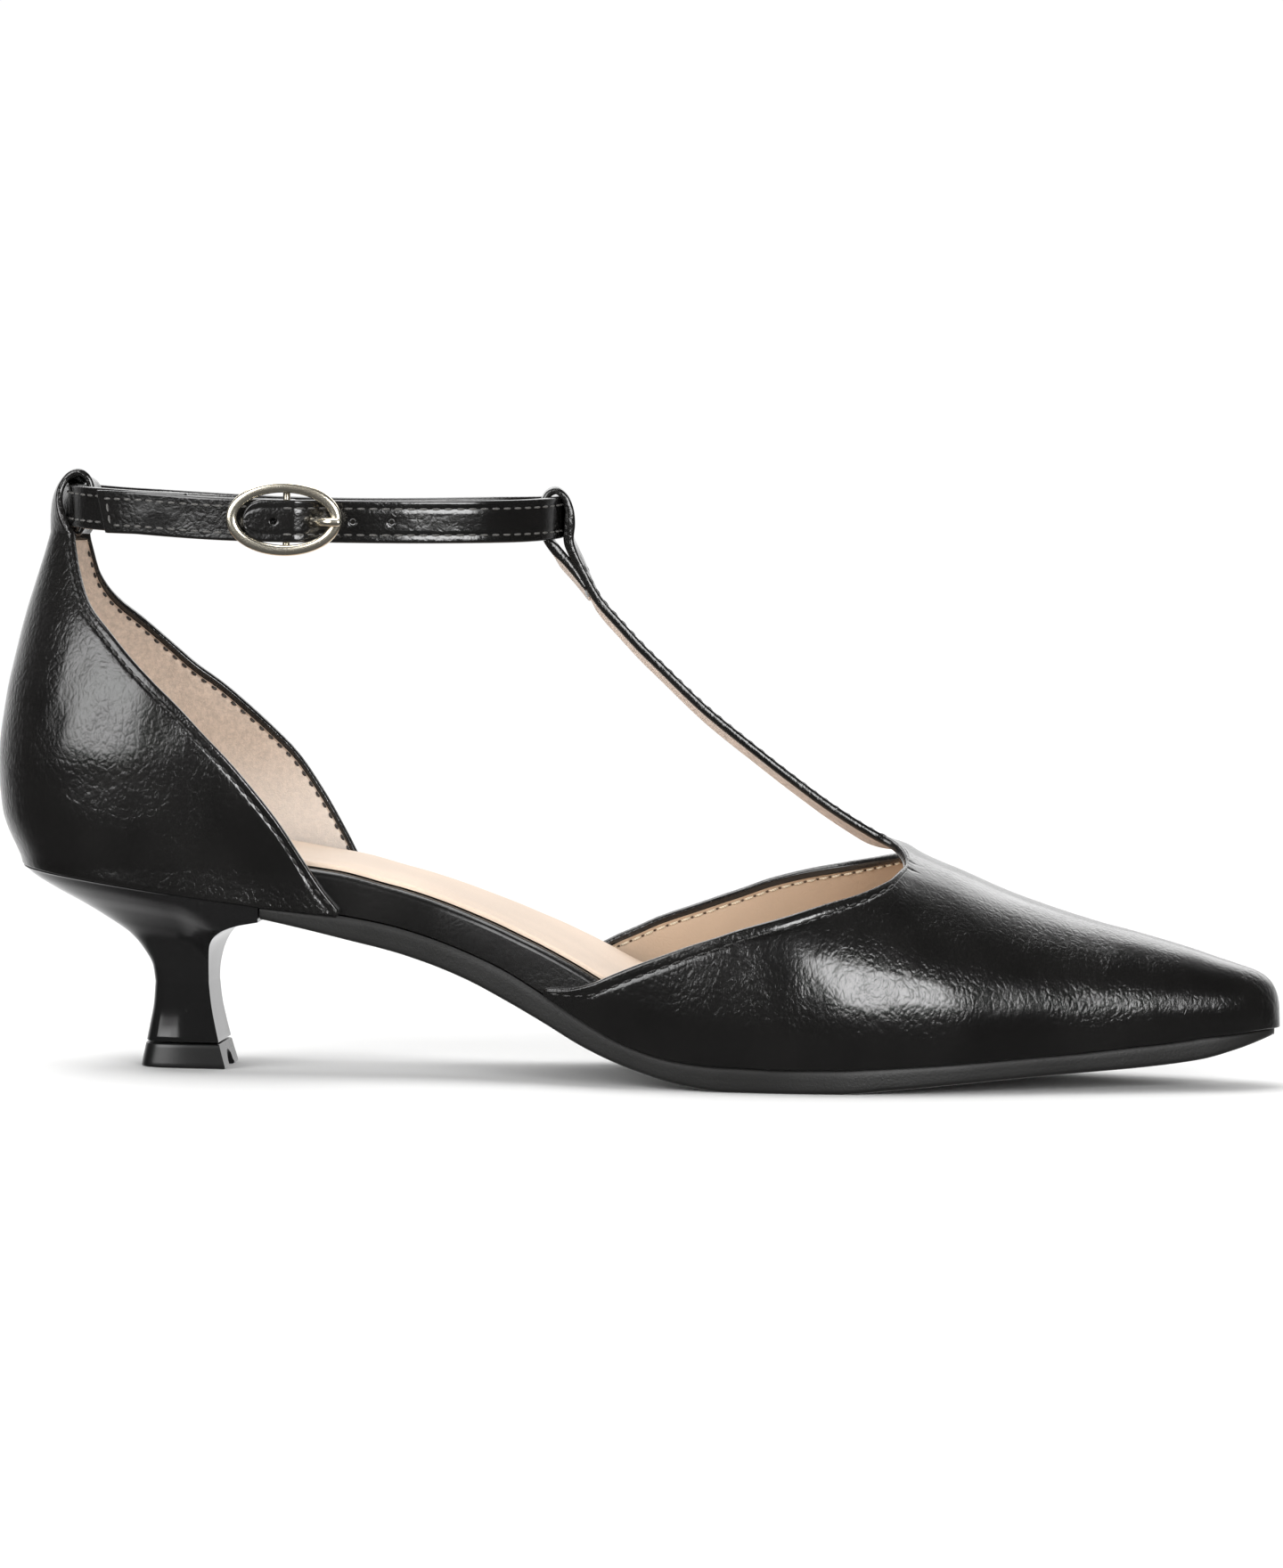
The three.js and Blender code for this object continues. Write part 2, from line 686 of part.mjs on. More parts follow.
// Quarter's outer skin: turn goes from the outer front end over the back to the inner front end
function quarterPoint(turn, v) {
  const side = turn < 0 ? -1 : 1;
  const length = side < 0 ? quarterOuterLength : quarterInnerLength;
  const edge = side < 0 ? quarterEdge.outer : quarterEdge.inner;
  const t = Math.min(Math.abs(turn), 1);
  const round = (share) => 1 - Math.cos((share * Math.PI) / 2);
  const corner = quarterEdgeRows[0].at * length;
  const foot = mix(seatBack, length, round(t));
  let top;
  let z;
  if (t <= cornerTurn) {
    z = quarterTop;
    top = mix(seatBack, cupBase(corner, z), (t / cornerTurn) ** 2);
  } else {
    const x = mix(corner, length, (round(t) - round(cornerTurn)) / (1 - round(cornerTurn)));
    z = Math.min(seam(x) + quarterHeight * edge(x / length), quarterTop);
    top = cupBase(x, z);
  }
  return cupPoint(mix(foot, top, v), side, mix(upperFoot(foot), z, v));
}

function quarter() {
  const turns = [];
  for (let k = -5; k <= 5; k += 1) turns.push((cornerTurn * k) / 5);
  for (let k = 1; k <= 15; k += 1) {
    turns.push(mix(cornerTurn, 1, k / 15));
    turns.unshift(mix(-cornerTurn, -1, k / 15));
  }
  const levels = [];
  for (let k = 0; k <= 8; k += 1) levels.push(k / 8);
  const outer = turns.map((turn) => levels.map((v) => quarterPoint(turn, v)));
  const inner = turns.map((turn) => levels.map((v) => under(
    (a, b) => quarterPoint(Math.min(Math.max(a, -0.999), 0.999), Math.min(Math.max(b, 0), 1)),
    turn,
    v,
    upperWall,
    [0.004, 0.02],
  )));
  const faces = [];
  const first = turns.findIndex((turn) => turn > -cornerTurn - 1e-6);
  const last = turns.length - 1 - first;
  sheet(faces, outer, inner, {
    first: true,
    last: true,
    left: [[0, turns.length - 1]],
    right: [[0, first], [last, turns.length - 1]],
  });
  const rim = outer.slice(first, last + 1).map((row) => row[row.length - 1]);
  const lining = inner.slice(first, last + 1).map((row) => row[row.length - 1]);
  const loop = backLoop(rim);
  sheet(faces, [rim, ...loop.outer].reverse(), [lining, ...loop.inner].reverse(), {
    first: true,
    last: false,
    left: [[0, loop.outer.length]],
    right: [[0, loop.outer.length]],
  });
  return solidOf(faces);
}

// Rows of the loop that goes up from the quarter's top edge and folds forward over the ankle strap
function backLoop(rim) {
  const start = rim[(rim.length - 1) / 2];
  const wide = rim[rim.length - 1].y;
  const bowAtRim = rim[0].x - start.x;
  const knots = [
    { x: start.x, z: start.z, wall: upperWall, bow: 1 },
    ...backLoopRows.map((row) => ({
      x: start.x + row.ahead * backLoopDepth,
      z: start.z + row.up * backLoopHeight,
      wall: row.wall * loopWall,
      bow: row.bow,
    })),
  ];
  return ribbon(knots, 16, 1, (knot, share) => rim.map((point) => {
    const y = point.y * mix(1, backLoopWidth / (2 * wide), fade(share, 0, 0.35));
    return { y, ahead: bowAtRim * knot.bow * (y / wide) ** 2 };
  }));
}

// Outer and inner rows of a strip that follows knots in the shoe's upright plane, with its inner face
// to the right of its way (1) or to the left (-1)
function ribbon(knots, count, side, across) {
  const line = new THREE.CatmullRomCurve3(
    knots.map((knot) => new THREE.Vector3(knot.x, 0, knot.z)),
    false,
    "centripetal",
  );
  const along = knots.map((knot, k) => k / (knots.length - 1));
  const wall = smooth(knots.map((knot, k) => [along[k], knot.wall]));
  const bow = smooth(knots.map((knot, k) => [along[k], knot.bow]));
  const outer = [];
  const inner = [];
  for (let k = 1; k <= count; k += 1) {
    const share = k / count;
    const place = line.getPoint(share);
    const forward = line.getTangent(share);
    const inward = new THREE.Vector3(forward.z, 0, -forward.x).multiplyScalar(side);
    const knot = { wall: wall(share), bow: bow(share) };
    const cross = across(knot, share);
    const row = cross.map(({ y, ahead }) => new THREE.Vector3(place.x + ahead, y, place.z));
    outer.push(row);
    inner.push(row.map((point) => point.clone().addScaledVector(inward, knot.wall)));
  }
  return { outer, inner };
}

// Vamp

const vampRidge = column(vampRows, "at", "ridge");
const vampFull = column(vampRows, "at", "full");
const vampAside = column(vampRows, "at", "aside");
const wingEdge = {
  outer: column(wingRows, "at", "outer"),
  inner: column(wingRows, "at", "inner"),
};
const loopMiddle = ankleFront + gap;
const loopJoin = {
  x: loopMiddle + frontLoopDepth * 0.64,
  z: strapHeight - frontLoopHeight * 0.54,
};
const throatPlace = loopJoin.x + tStrapReach;

function throatShare(x) {
  return (x - throatPlace) / (shoeLength - throatPlace);
}

const throatZ = seam(throatPlace) + throatDepth;

const ridgeLine = smooth([
  ...[...tStrapRows].reverse().map((row) => [
    throatPlace - row.at * tStrapReach,
    mix(throatZ, loopJoin.z, row.rise),
  ]),
  ...vampRows.map((row) => {
    const x = mix(throatPlace, shoeLength, row.at);
    return [x, seam(x) + throatDepth * row.ridge];
  }),
]);

// Height of the ridge, which drops to the upper's lower edge at the toe
function ridge(x) {
  return upperFoot(x) + (ridgeLine(x) - upperFoot(x)) * toeDrop(toeShare(x, upperStep));
}

function ridgeAside(x) {
  const atThroat = ballWidth * vampAside(0);
  if (x >= throatPlace) return ballWidth * vampAside(throatShare(x));
  return atThroat * Math.max(1 - (throatPlace - x) / tStrapReach, 0);
}

function fullest(x) {
  const up = throatDepth * vampFull(Math.max(throatShare(x), 0));
  return upperFoot(x) + up * toeDrop(toeShare(x, upperStep));
}

const tuckShare = 0.2;

// Vamp's outer skin: around goes from the outer seam (-1) over the ridge (0) to the inner seam (1)
function vampPoint(x, around) {
  const side = around < 0 ? -1 : 1;
  const rise = 1 - Math.abs(around);
  const full = fullest(x);
  const edge = outline(x, side, upperStep);
  const blunt = toeRounding(toeShare(x, upperStep));
  const out = bulge * blunt;
  if (rise < tuckShare) {
    const t = rise / tuckShare;
    return new THREE.Vector3(x, edge + side * out * (1 - (1 - t) ** 2), mix(upperFoot(x), full, t));
  }
  const angle = ((rise - tuckShare) / (1 - tuckShare)) * (Math.PI / 2);
  const aside = mix(outline(outlineToe(upperStep), 1, upperStep), ridgeAside(x), blunt);
  return new THREE.Vector3(
    x,
    aside + (edge + side * out - aside) * Math.cos(angle),
    full + (ridge(x) - full) * Math.sin(angle),
  );
}

// Place across the vamp where its side reaches a height
function aroundAtHeight(x, side, z) {
  const full = fullest(x);
  if (z < full) return side * (1 - tuckShare * (z - upperFoot(x)) / (full - upperFoot(x)));
  const angle = Math.asin(Math.min((z - full) / (ridge(x) - full), 1));
  return side * (1 - mix(tuckShare, 1, angle / (Math.PI / 2)));
}

// Place across the vamp at a distance from the ridge
function aroundAtDistance(x, side, distance) {
  const widest = outline(x, side, upperStep) + side * bulge;
  const angle = Math.acos(Math.min(distance / Math.abs(widest - ridgeAside(x)), 1));
  return side * (1 - mix(tuckShare, 1, angle / (Math.PI / 2)));
}

function wingTop(x, side) {
  const length = side < 0 ? wingOuterLength : wingInnerLength;
  const edge = side < 0 ? wingEdge.outer : wingEdge.inner;
  const share = 1 - (throatFromHeel - x) / length;
  return aroundAtHeight(x, side, seam(x) + throatDepth * edge(share));
}

// Edges of the wing and of the T-strap run together in a rounded corner at the throat
function cornerAround(side) {
  return mix(wingTop(throatFromHeel, side), aroundAtDistance(throatFromHeel, side, tStrapWidth / 2), 0.3);
}

function rounding(x, radius) {
  const t = Math.max((x - throatFromHeel + radius) / radius, 0);
  return Math.sqrt(Math.max(1 - t * t, 0));
}

function wingEdgeAround(x, side) {
  const corner = cornerAround(side);
  if (x >= throatFromHeel) return corner;
  return mix(corner, wingTop(x, side), rounding(x, throatRadius * 0.4));
}

function tStrapEdgeAround(x, side) {
  const corner = cornerAround(side);
  if (x >= throatFromHeel) return corner;
  return mix(corner, aroundAtDistance(x, side, tStrapWidth / 2), rounding(x, throatRadius));
}

// T-strap leans with its inner edge lower than its outer edge
function tStrapPoint(x, around) {
  const point = vampPoint(x, around);
  const lean = tStrapTilt * (1 - fade(x, throatPlace - tStrapReach * 0.12, throatFromHeel))
    * fade(x, loopJoin.x, loopJoin.x + tStrapReach * 0.15);
  point.z -= lean * (point.y - ridgeAside(x) + tStrapWidth / 2);
  return point;
}

function vamp() {
  const outerEnd = throatFromHeel - wingOuterLength;
  const innerEnd = throatFromHeel - wingInnerLength;
  const toe = outlineToe(upperStep);
  const round = throatFromHeel - throatRadius;
  const places = [];
  const span = (from, to, count, ease) => {
    for (let k = 1; k <= count; k += 1) places.push(mix(from, to, ease(k / count)));
  };
  const ends = [innerEnd, outerEnd, loopJoin.x].sort((a, b) => a - b);
  places.push(ends[0]);
  span(ends[0], ends[1], 2, (t) => t);
  span(ends[1], ends[2], 2, (t) => t);
  span(loopJoin.x, round, 16, (t) => t ** 1.35);
  span(round, throatFromHeel, 5, (t) => Math.sin((t * Math.PI) / 2));
  span(throatFromHeel, toe - toeRound, 10, (t) => t);
  span(toe - toeRound, toe, 8, (t) => Math.sin((t * Math.PI) / 2));
  places.sort((a, b) => a - b);
  const from = (x) => places.findIndex((place) => place > x - 1e-6);
  const rows = (start, count, surface, edges) => {
    const outer = [];
    const inner = [];
    for (const x of places.slice(from(start))) {
      const skin = x < throatFromHeel - 1e-6 ? surface : vampPoint;
      const [left, right] = edges(x);
      const line = [];
      for (let k = 0; k <= count; k += 1) line.push(mix(left, right, k / count));
      outer.push(line.map((around) => skin(x, around)));
      inner.push(line.map((around) => skinUnder(skin, x, around)));
    }
    return { outer, inner };
  };
  const skinUnder = (surface, x, around) => {
    if (x > toe - 0.01) return new THREE.Vector3(toe - upperWall, outline(toe, 1, upperStep), upperFoot(toe));
    const held = Math.min(x, toe - 0.3);
    const point = under(
      (a, b) => surface(a, THREE.MathUtils.clamp(b, -1, 1)),
      held,
      around,
      upperWall,
      [0.05, -0.004],
    );
    return point.add(surface(x, around).sub(surface(held, around)));
  };
  const outerWing = rows(outerEnd, 7, vampPoint, (x) => [-1, wingEdgeAround(x, -1)]);
  const innerWing = rows(innerEnd, 7, vampPoint, (x) => [wingEdgeAround(x, 1), 1]);
  const strap = rows(loopJoin.x, 4, tStrapPoint, (x) => [tStrapEdgeAround(x, -1), tStrapEdgeAround(x, 1)]);
  const faces = [];
  const throatRow = (start) => from(throatFromHeel) - from(start);
  const count = (grid) => grid.outer.length - 1;
  sheet(faces, outerWing.outer, outerWing.inner, {
    first: true,
    last: false,
    left: [[0, count(outerWing)]],
    right: [[0, throatRow(outerEnd)]],
  });
  sheet(faces, innerWing.outer, innerWing.inner, {
    first: true,
    last: false,
    left: [[0, throatRow(innerEnd)]],
    right: [[0, count(innerWing)]],
  });
  sheet(faces, strap.outer, strap.inner, {
    first: false,
    last: false,
    left: [[0, throatRow(loopJoin.x)]],
    right: [[0, throatRow(loopJoin.x)]],
  });
  const loop = frontLoop(strap.outer[0]);
  sheet(faces, [strap.outer[0], ...loop.outer].reverse(), [strap.inner[0], ...loop.inner].reverse(), {
    first: true,
    last: false,
    left: [[0, loop.outer.length]],
    right: [[0, loop.outer.length]],
  });
  return solidOf(faces);
}

// Rows of the loop at the T-strap's end, from the strap over the ankle strap and back under the strap
function frontLoop(edge) {
  const middle = edge[(edge.length - 1) / 2];
  const knots = [
    { x: middle.x, z: middle.z, wall: upperWall, bow: 0 },
    ...frontLoopRows.map((row) => ({
      x: loopMiddle + row.ahead * frontLoopDepth,
      z: strapHeight + row.up * frontLoopHeight,
      wall: row.wall * loopWall,
      bow: 0,
    })),
  ];
  return ribbon(knots, 24, -1, () => edge.map((point) => ({ y: point.y, ahead: 0 })));
}

// Ankle strap

const ankleMiddle = (ankleBack + ankleFront) / 2;
const ankleRadius = (ankleFront - ankleBack) / 2;
const anklePower = 2.2;
const ankleUp = column(ankleRows, "turn", "up");

// Middle line of the ankle strap. The turn is 0 at the front, a quarter at the inner side, a half at the
// back and minus a quarter at the outer side.
function anklePlace(turn) {
  const angle = turn * 2 * Math.PI;
  const reach = (value) => Math.sign(value) * Math.abs(value) ** (2 / anklePower);
  return new THREE.Vector3(
    ankleMiddle + ankleRadius * reach(Math.cos(angle)),
    ankleHalfWidth * reach(Math.sin(angle)),
    strapHeight + ankleStrapWidth * ankleUp(turn),
  );
}

function turnAt(x) {
  const share = Math.min(Math.abs((x - ankleMiddle) / ankleRadius), 1) ** (anklePower / 2);
  return -Math.acos(Math.sign(x - ankleMiddle) * share) / (2 * Math.PI);
}

function ankleFrame(turn) {
  const along = anklePlace(turn + 0.001).sub(anklePlace(turn - 0.001)).setZ(0).normalize();
  return { place: anklePlace(turn), outward: new THREE.Vector3(along.y, -along.x, 0) };
}

// Rectangle with eased corners across a strap, at a distance outward from the middle line
function strapRing(frame, distance, width, thickness, ease) {
  const half = width / 2;
  const flat = half - ease;
  const corners = [
    [-half, -thickness / 2 + ease], [-half, thickness / 2 - ease], [-flat, thickness / 2], [flat, thickness / 2],
    [half, thickness / 2 - ease], [half, -thickness / 2 + ease], [flat, -thickness / 2], [-flat, -thickness / 2],
  ];
  return corners.map(([up, out]) => frame.place.clone()
    .addScaledVector(frame.outward, distance + out)
    .setZ(frame.place.z + up));
}

const billetTip = buckleFromHeel - buckleLength / 2 + ringWidth + 1.6;
const foldRadius = ankleStrapThickness / 2 + gap + buckleStrapPly / 2;
const billetRise = foldRadius + buckleStrapPly / 2 + gap + ankleStrapThickness / 2;
const ringRise = billetRise + gap * 2;
const buckleTurn = turnAt(buckleFromHeel);

// Distance of the billet from the strap's middle line, so that it passes under the ring and over the bar
function billetLift(x) {
  return billetRise * (1 - fade(x, buckleFromHeel + ringWidth * 0.7, buckleFromHeel + buckleLength * 0.365));
}

function ankleStrap() {
  const startTurn = 1 + turnAt(buckleFromHeel - buckleStrapLength * 0.55);
  const endTurn = turnAt(billetTip);
  const turns = [];
  for (let k = 0; k <= 42; k += 1) turns.push(mix(startTurn, -0.13, k / 42));
  for (let k = 1; k <= 20; k += 1) turns.push(mix(-0.13, endTurn, k / 20));
  const rings = turns.map((turn) => {
    const frame = ankleFrame(turn);
    const billet = turn < 0;
    const distance = billet ? billetLift(frame.place.x) : 0;
    const toTip = billet ? Math.max(frame.place.x - billetTip, 0) / (ankleStrapWidth / 2) : 1;
    const width = ankleStrapWidth * Math.sqrt(1 - Math.max(1 - toTip, 0) ** 2 * 0.9);
    return strapRing(frame, distance, width, ankleStrapThickness, 0.3);
  });
  let strap = loft(rings, false);
  for (const step of [0, 2, 3]) {
    const x = buckleFromHeel - 2.1 + holePitch * step;
    strap = strap.subtract(strapPin(x, holeDiameter / 2, billetLift(x) + 4));
  }
  return strap.subtract(prongRod(prongDiameter / 2 + gap));
}

// Cylinder through the strap at one place, pointing outward
function strapPin(x, radius, reach) {
  const frame = ankleFrame(turnAt(x));
  const pin = new THREE.CylinderGeometry(radius, radius, 2 * reach, 14);
  const turned = new THREE.Quaternion().setFromUnitVectors(new THREE.Vector3(0, 1, 0), frame.outward);
  pin.applyQuaternion(turned);
  pin.translate(frame.place.x, frame.place.y, strapHeight + ankleStrapWidth * ankleUp(turnAt(x)));
  return solidOfGeometry(pin);
}

// Point beside the ankle strap at the outer side, at a place along the shoe and a distance outward
function besideStrap(x, distance) {
  const frame = ankleFrame(turnAt(x));
  return frame.place.clone().addScaledVector(frame.outward, distance);
}

function buckleStrap() {
  const end = buckleFromHeel - buckleStrapLength;
  const steps = [];
  for (let k = 0; k <= 10; k += 1) steps.push([mix(end, buckleFromHeel - 0.5, k / 10), -foldRadius]);
  for (let k = 0; k <= 8; k += 1) {
    const angle = mix(-Math.PI / 2, Math.PI / 2, k / 8);
    steps.push([buckleFromHeel + foldRadius * Math.cos(angle), foldRadius * Math.sin(angle)]);
  }
  for (let k = 10; k >= 0; k -= 1) steps.push([mix(end, buckleFromHeel - 0.5, k / 10), foldRadius]);
  const line = steps.map(([x, distance]) => besideStrap(x, distance));
  const rings = line.map((place, k) => {
    const along = line[Math.min(k + 1, line.length - 1)].clone().sub(line[Math.max(k - 1, 0)]).setZ(0).normalize();
    const frame = { place, outward: new THREE.Vector3(along.y, -along.x, 0) };
    const ring = strapRing(frame, 0, buckleStrapWidth, buckleStrapPly, 0.2);
    const slant = 0.3 * Math.max(1 - (steps[k][0] - end) / 6, 0) * Math.sign(along.x);
    ring.forEach((point) => point.addScaledVector(along, -slant * (point.z - place.z)));
    return ring;
  });
  const slot = new THREE.BoxGeometry(foldRadius * 2 + 2.4, 8 * foldRadius, prongDiameter + 2 * gap);
  const frame = ankleFrame(buckleTurn);
  slot.translate(buckleFromHeel + foldRadius - 0.6, frame.place.y, frame.place.z);
  return loft(rings, false).subtract(solidOfGeometry(slot));
}

// Buckle

function buckleFrame() {
  const middle = besideStrap(buckleFromHeel, ringRise);
  const rings = [];
  for (let k = 0; k < 36; k += 1) {
    const angle = (k / 36) * 2 * Math.PI;
    const radius = [(buckleLength - ringWidth) / 2, (buckleHeight - ringWidth) / 2];
    const along = new THREE.Vector3(
      -radius[0] * Math.sin(angle), 0, radius[1] * Math.cos(angle),
    ).normalize();
    const out = new THREE.Vector3(along.z, 0, -along.x);
    const place = new THREE.Vector3(
      middle.x + radius[0] * Math.cos(angle), middle.y, middle.z + radius[1] * Math.sin(angle),
    );
    const ring = [];
    for (let j = 0; j < 8; j += 1) {
      const turn = ((j + 0.5) / 8) * 2 * Math.PI;
      ring.push(place.clone()
        .addScaledVector(out, (ringWidth / 2) * Math.cos(turn) * 1.05)
        .add(new THREE.Vector3(0, (ringThickness / 2) * Math.sin(turn) * 1.05, 0)));
    }
    rings.push(ring);
  }
  let frame = loft(rings, true);
  const reach = (buckleHeight - ringWidth) / 2;
  const foot = besideStrap(buckleFromHeel, 0);
  const bar = new THREE.CylinderGeometry(barDiameter / 2, barDiameter / 2, 2 * reach + barDiameter * 0.6, 14);
  bar.rotateX(Math.PI / 2);
  bar.translate(foot.x, foot.y, middle.z);
  frame = frame.add(solidOfGeometry(bar));
  for (const end of [-1, 1]) {
    const post = new THREE.CylinderGeometry(barDiameter * 0.45, barDiameter * 0.45, ringRise + 0.2, 12);
    post.translate(foot.x, (foot.y + middle.y) / 2, middle.z + end * reach);
    frame = frame.add(solidOfGeometry(post));
  }
  return frame;
}

// Rod along the prong's line: hooked round the bar, through the strap's hole and onto the ring
function prongRod(radius) {
  const hook = barDiameter / 2 + gap + prongDiameter / 2;
  const onRing = ringRise + ringThickness / 2 + gap + prongDiameter / 2;
  const ringEnd = buckleFromHeel + buckleLength / 2;
  const steps = [];
  for (const angle of [-110, -80, -50, -20]) {
    const turn = THREE.MathUtils.degToRad(angle);
    steps.push([buckleFromHeel + hook * Math.cos(turn), hook * Math.sin(turn)]);
  }
  steps.push(
    [buckleFromHeel + hook * 1.6, hook * 0.2],
    [ringEnd - 3.3 * ringWidth, onRing * 0.16],
    [ringEnd - 2.75 * ringWidth, onRing * 0.4],
    [ringEnd - 2.2 * ringWidth, onRing * 0.68],
    [ringEnd - 1.6 * ringWidth, onRing * 0.89],
    [ringEnd - ringWidth, onRing],
    [ringEnd - ringWidth * 0.4, onRing],
    [ringEnd, onRing],
  );
  const place = ankleFrame(buckleTurn).place;
  const line = new THREE.CatmullRomCurve3(
    steps.map(([x, out]) => new THREE.Vector3(x, place.y - out, place.z)),
    false,
    "centripetal",
  );
  const section = new THREE.Shape();
  section.absarc(0, 0, radius, 0, 2 * Math.PI, false);
  const rod = new THREE.ExtrudeGeometry(section, {
    steps: 28,
    curveSegments: 4,
    bevelEnabled: false,
    extrudePath: line,
  });
  return solidOfGeometry(rod);
}

const shoe = new THREE.Group();
shoe.name = "pump_shoe";

shoe.add(
  part("outsole", outsole(), 0x1b1b1b, 0.7, 0),
  part("heel", heel(), 0x141414, 0.2, 0),
  part("top_piece", topPiece(), 0x161616, 0.4, 0),
  part("insole_board", insoleBoard(), 0x1c1a1a, 0.4, 0),
  part("insole_sock", insoleSock(), 0xe3c3a4, 0.7, 0),
  part("vamp", vamp(), 0x181818, 0.3, 0),
  part("quarter", quarter(), 0x1a1a1a, 0.3, 0),
  part("ankle_strap", ankleStrap(), 0x202020, 0.35, 0),
  part("buckle_strap", buckleStrap(), 0x242424, 0.35, 0),
  part("buckle_frame", buckleFrame(), 0xd8c9a0, 0.25, 1),
  part("buckle_prong", prongRod(prongDiameter / 2), 0xd8c9a0, 0.25, 1),
);

// Origin on the floor under the middle of the heel's foot
for (const piece of shoe.children) {
  piece.geometry.translate(-(heelFootBack + heelFootLength / 2), 0, 0);
}

export default shoe;
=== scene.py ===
import math
import random

import bpy
import numpy as np
from mathutils import Matrix, Vector, noise


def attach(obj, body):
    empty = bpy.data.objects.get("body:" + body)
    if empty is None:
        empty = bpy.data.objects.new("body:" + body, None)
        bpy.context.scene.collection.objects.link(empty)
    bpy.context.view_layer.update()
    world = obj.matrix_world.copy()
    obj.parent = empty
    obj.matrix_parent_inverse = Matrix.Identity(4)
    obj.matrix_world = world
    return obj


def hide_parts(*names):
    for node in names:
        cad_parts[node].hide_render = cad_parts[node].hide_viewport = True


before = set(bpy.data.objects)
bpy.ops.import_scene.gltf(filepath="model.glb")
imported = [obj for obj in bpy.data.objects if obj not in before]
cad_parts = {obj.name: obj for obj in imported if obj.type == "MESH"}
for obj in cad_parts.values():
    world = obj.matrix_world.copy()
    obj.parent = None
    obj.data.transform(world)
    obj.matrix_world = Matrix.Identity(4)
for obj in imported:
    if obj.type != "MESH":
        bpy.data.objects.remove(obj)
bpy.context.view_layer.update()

scene = bpy.context.scene
random.seed(4)

# Shoe's own sizes in mm: x from the heel to the toe, y from the outer to the inner side, z up
shoe = {
    "length": 264, "ballWidth": 76, "seatBack": 4.9, "heelEndRound": 30, "toeRound": 14,
    "seatHeight": 42, "toeSpring": 11.3, "strapHeight": 114,
    "soleThickness": 5.3, "boardThickness": 8.6, "boardEdge": 1.8, "sockThickness": 1, "sockInset": 2,
    "soleLip": 1, "soleEdge": 0.9, "upperWall": 1.8, "bulge": 1.6, "gap": 0.3,
    "breastFromHeel": 57, "footBack": 30.2, "footLength": 18.4, "footWidth": 20, "neckHeight": 17.5,
    "topPiece": 5,
}
originX = shoe["footBack"] + shoe["footLength"] / 2
upperStep = shoe["upperWall"] + shoe["gap"]

# at, outer, inner, lift, spring, sole, board
lastRows = [
    (0.000, 0.316, 0.316, 1.000, 0.000, 0.000, 0.895),
    (0.076, 0.316, 0.316, 0.923, 0.000, 0.179, 1.000),
    (0.152, 0.322, 0.317, 0.839, 0.000, 0.351, 1.081),
    (0.216, 0.311, 0.297, 0.767, 0.000, 0.509, 1.081),
    (0.250, 0.301, 0.284, 0.721, 0.000, 0.698, 1.035),
    (0.284, 0.295, 0.271, 0.671, 0.000, 0.906, 0.988),
    (0.318, 0.293, 0.262, 0.621, 0.000, 0.981, 0.919),
    (0.348, 0.299, 0.259, 0.564, 0.000, 1.019, 0.919),
    (0.379, 0.316, 0.264, 0.490, 0.000, 1.057, 0.930),
    (0.409, 0.342, 0.279, 0.400, 0.000, 1.132, 0.965),
    (0.439, 0.371, 0.300, 0.302, 0.000, 1.075, 1.081),
    (0.470, 0.399, 0.324, 0.195, 0.000, 1.019, 1.163),
    (0.496, 0.420, 0.345, 0.124, 0.000, 0.906, 1.151),
    (0.523, 0.438, 0.367, 0.067, 0.000, 0.868, 1.047),
    (0.549, 0.454, 0.388, 0.026, 0.000, 0.925, 0.884),
    (0.583, 0.468, 0.414, 0.000, 0.000, 1.000, 0.733),
    (0.625, 0.474, 0.438, 0.000, 0.000, 0.943, 0.651),
    (0.667, 0.463, 0.450, 0.000, 0.000, 0.962, 0.605),
    (0.712, 0.425, 0.439, 0.000, 0.075, 0.896, 0.558),
    (0.758, 0.370, 0.405, 0.000, 0.168, 0.830, 0.523),
    (0.803, 0.301, 0.357, 0.000, 0.257, 0.792, 0.500),
    (0.848, 0.229, 0.304, 0.000, 0.336, 0.792, 0.477),
    (0.894, 0.161, 0.247, 0.000, 0.416, 0.849, 0.442),
    (0.939, 0.093, 0.187, 0.000, 0.540, 0.849, 0.395),
    (0.970, 0.050, 0.142, 0.000, 0.735, 0.604, 0.372),
    (1.000, 0.011, 0.097, 0.000, 1.000, 0.245, 0.349),
]


def smooth(knots):
    xs = np.array([k[0] for k in knots], float)
    ys = np.array([k[1] for k in knots], float)
    step = np.diff(ys) / np.diff(xs)
    both = step[:-1] * step[1:]
    total = np.where(np.abs(step[:-1] + step[1:]) < 1e-12, 1, step[:-1] + step[1:])
    slope = np.concatenate([step[:1], np.where(both > 0, 2 * both / total, 0), step[-1:]])

    def at(place):
        x = np.clip(np.asarray(place, float), xs[0], xs[-1])
        k = np.clip(np.searchsorted(xs, x, side="right") - 1, 0, len(step) - 1)
        length = xs[k + 1] - xs[k]
        t = (x - xs[k]) / length
        u = 1 - t
        return (ys[k] * u * u * (1 + 2 * t) + ys[k + 1] * t * t * (1 + 2 * u)
                + length * t * u * (slope[k] * u - slope[k + 1] * t))
    return at


def mix(a, b, t):
    return a * (1 - t) + b * t


def fade(value, low, high):
    t = np.clip((np.asarray(value, float) - low) / (high - low), 0, 1)
    return t * t * (3 - 2 * t)


def column(rows, k):
    return smooth([(row[0], row[k]) for row in rows])


outerShare, innerShare, liftShare, springShare, soleShare, boardShare = [column(lastRows, k) for k in range(1, 7)]


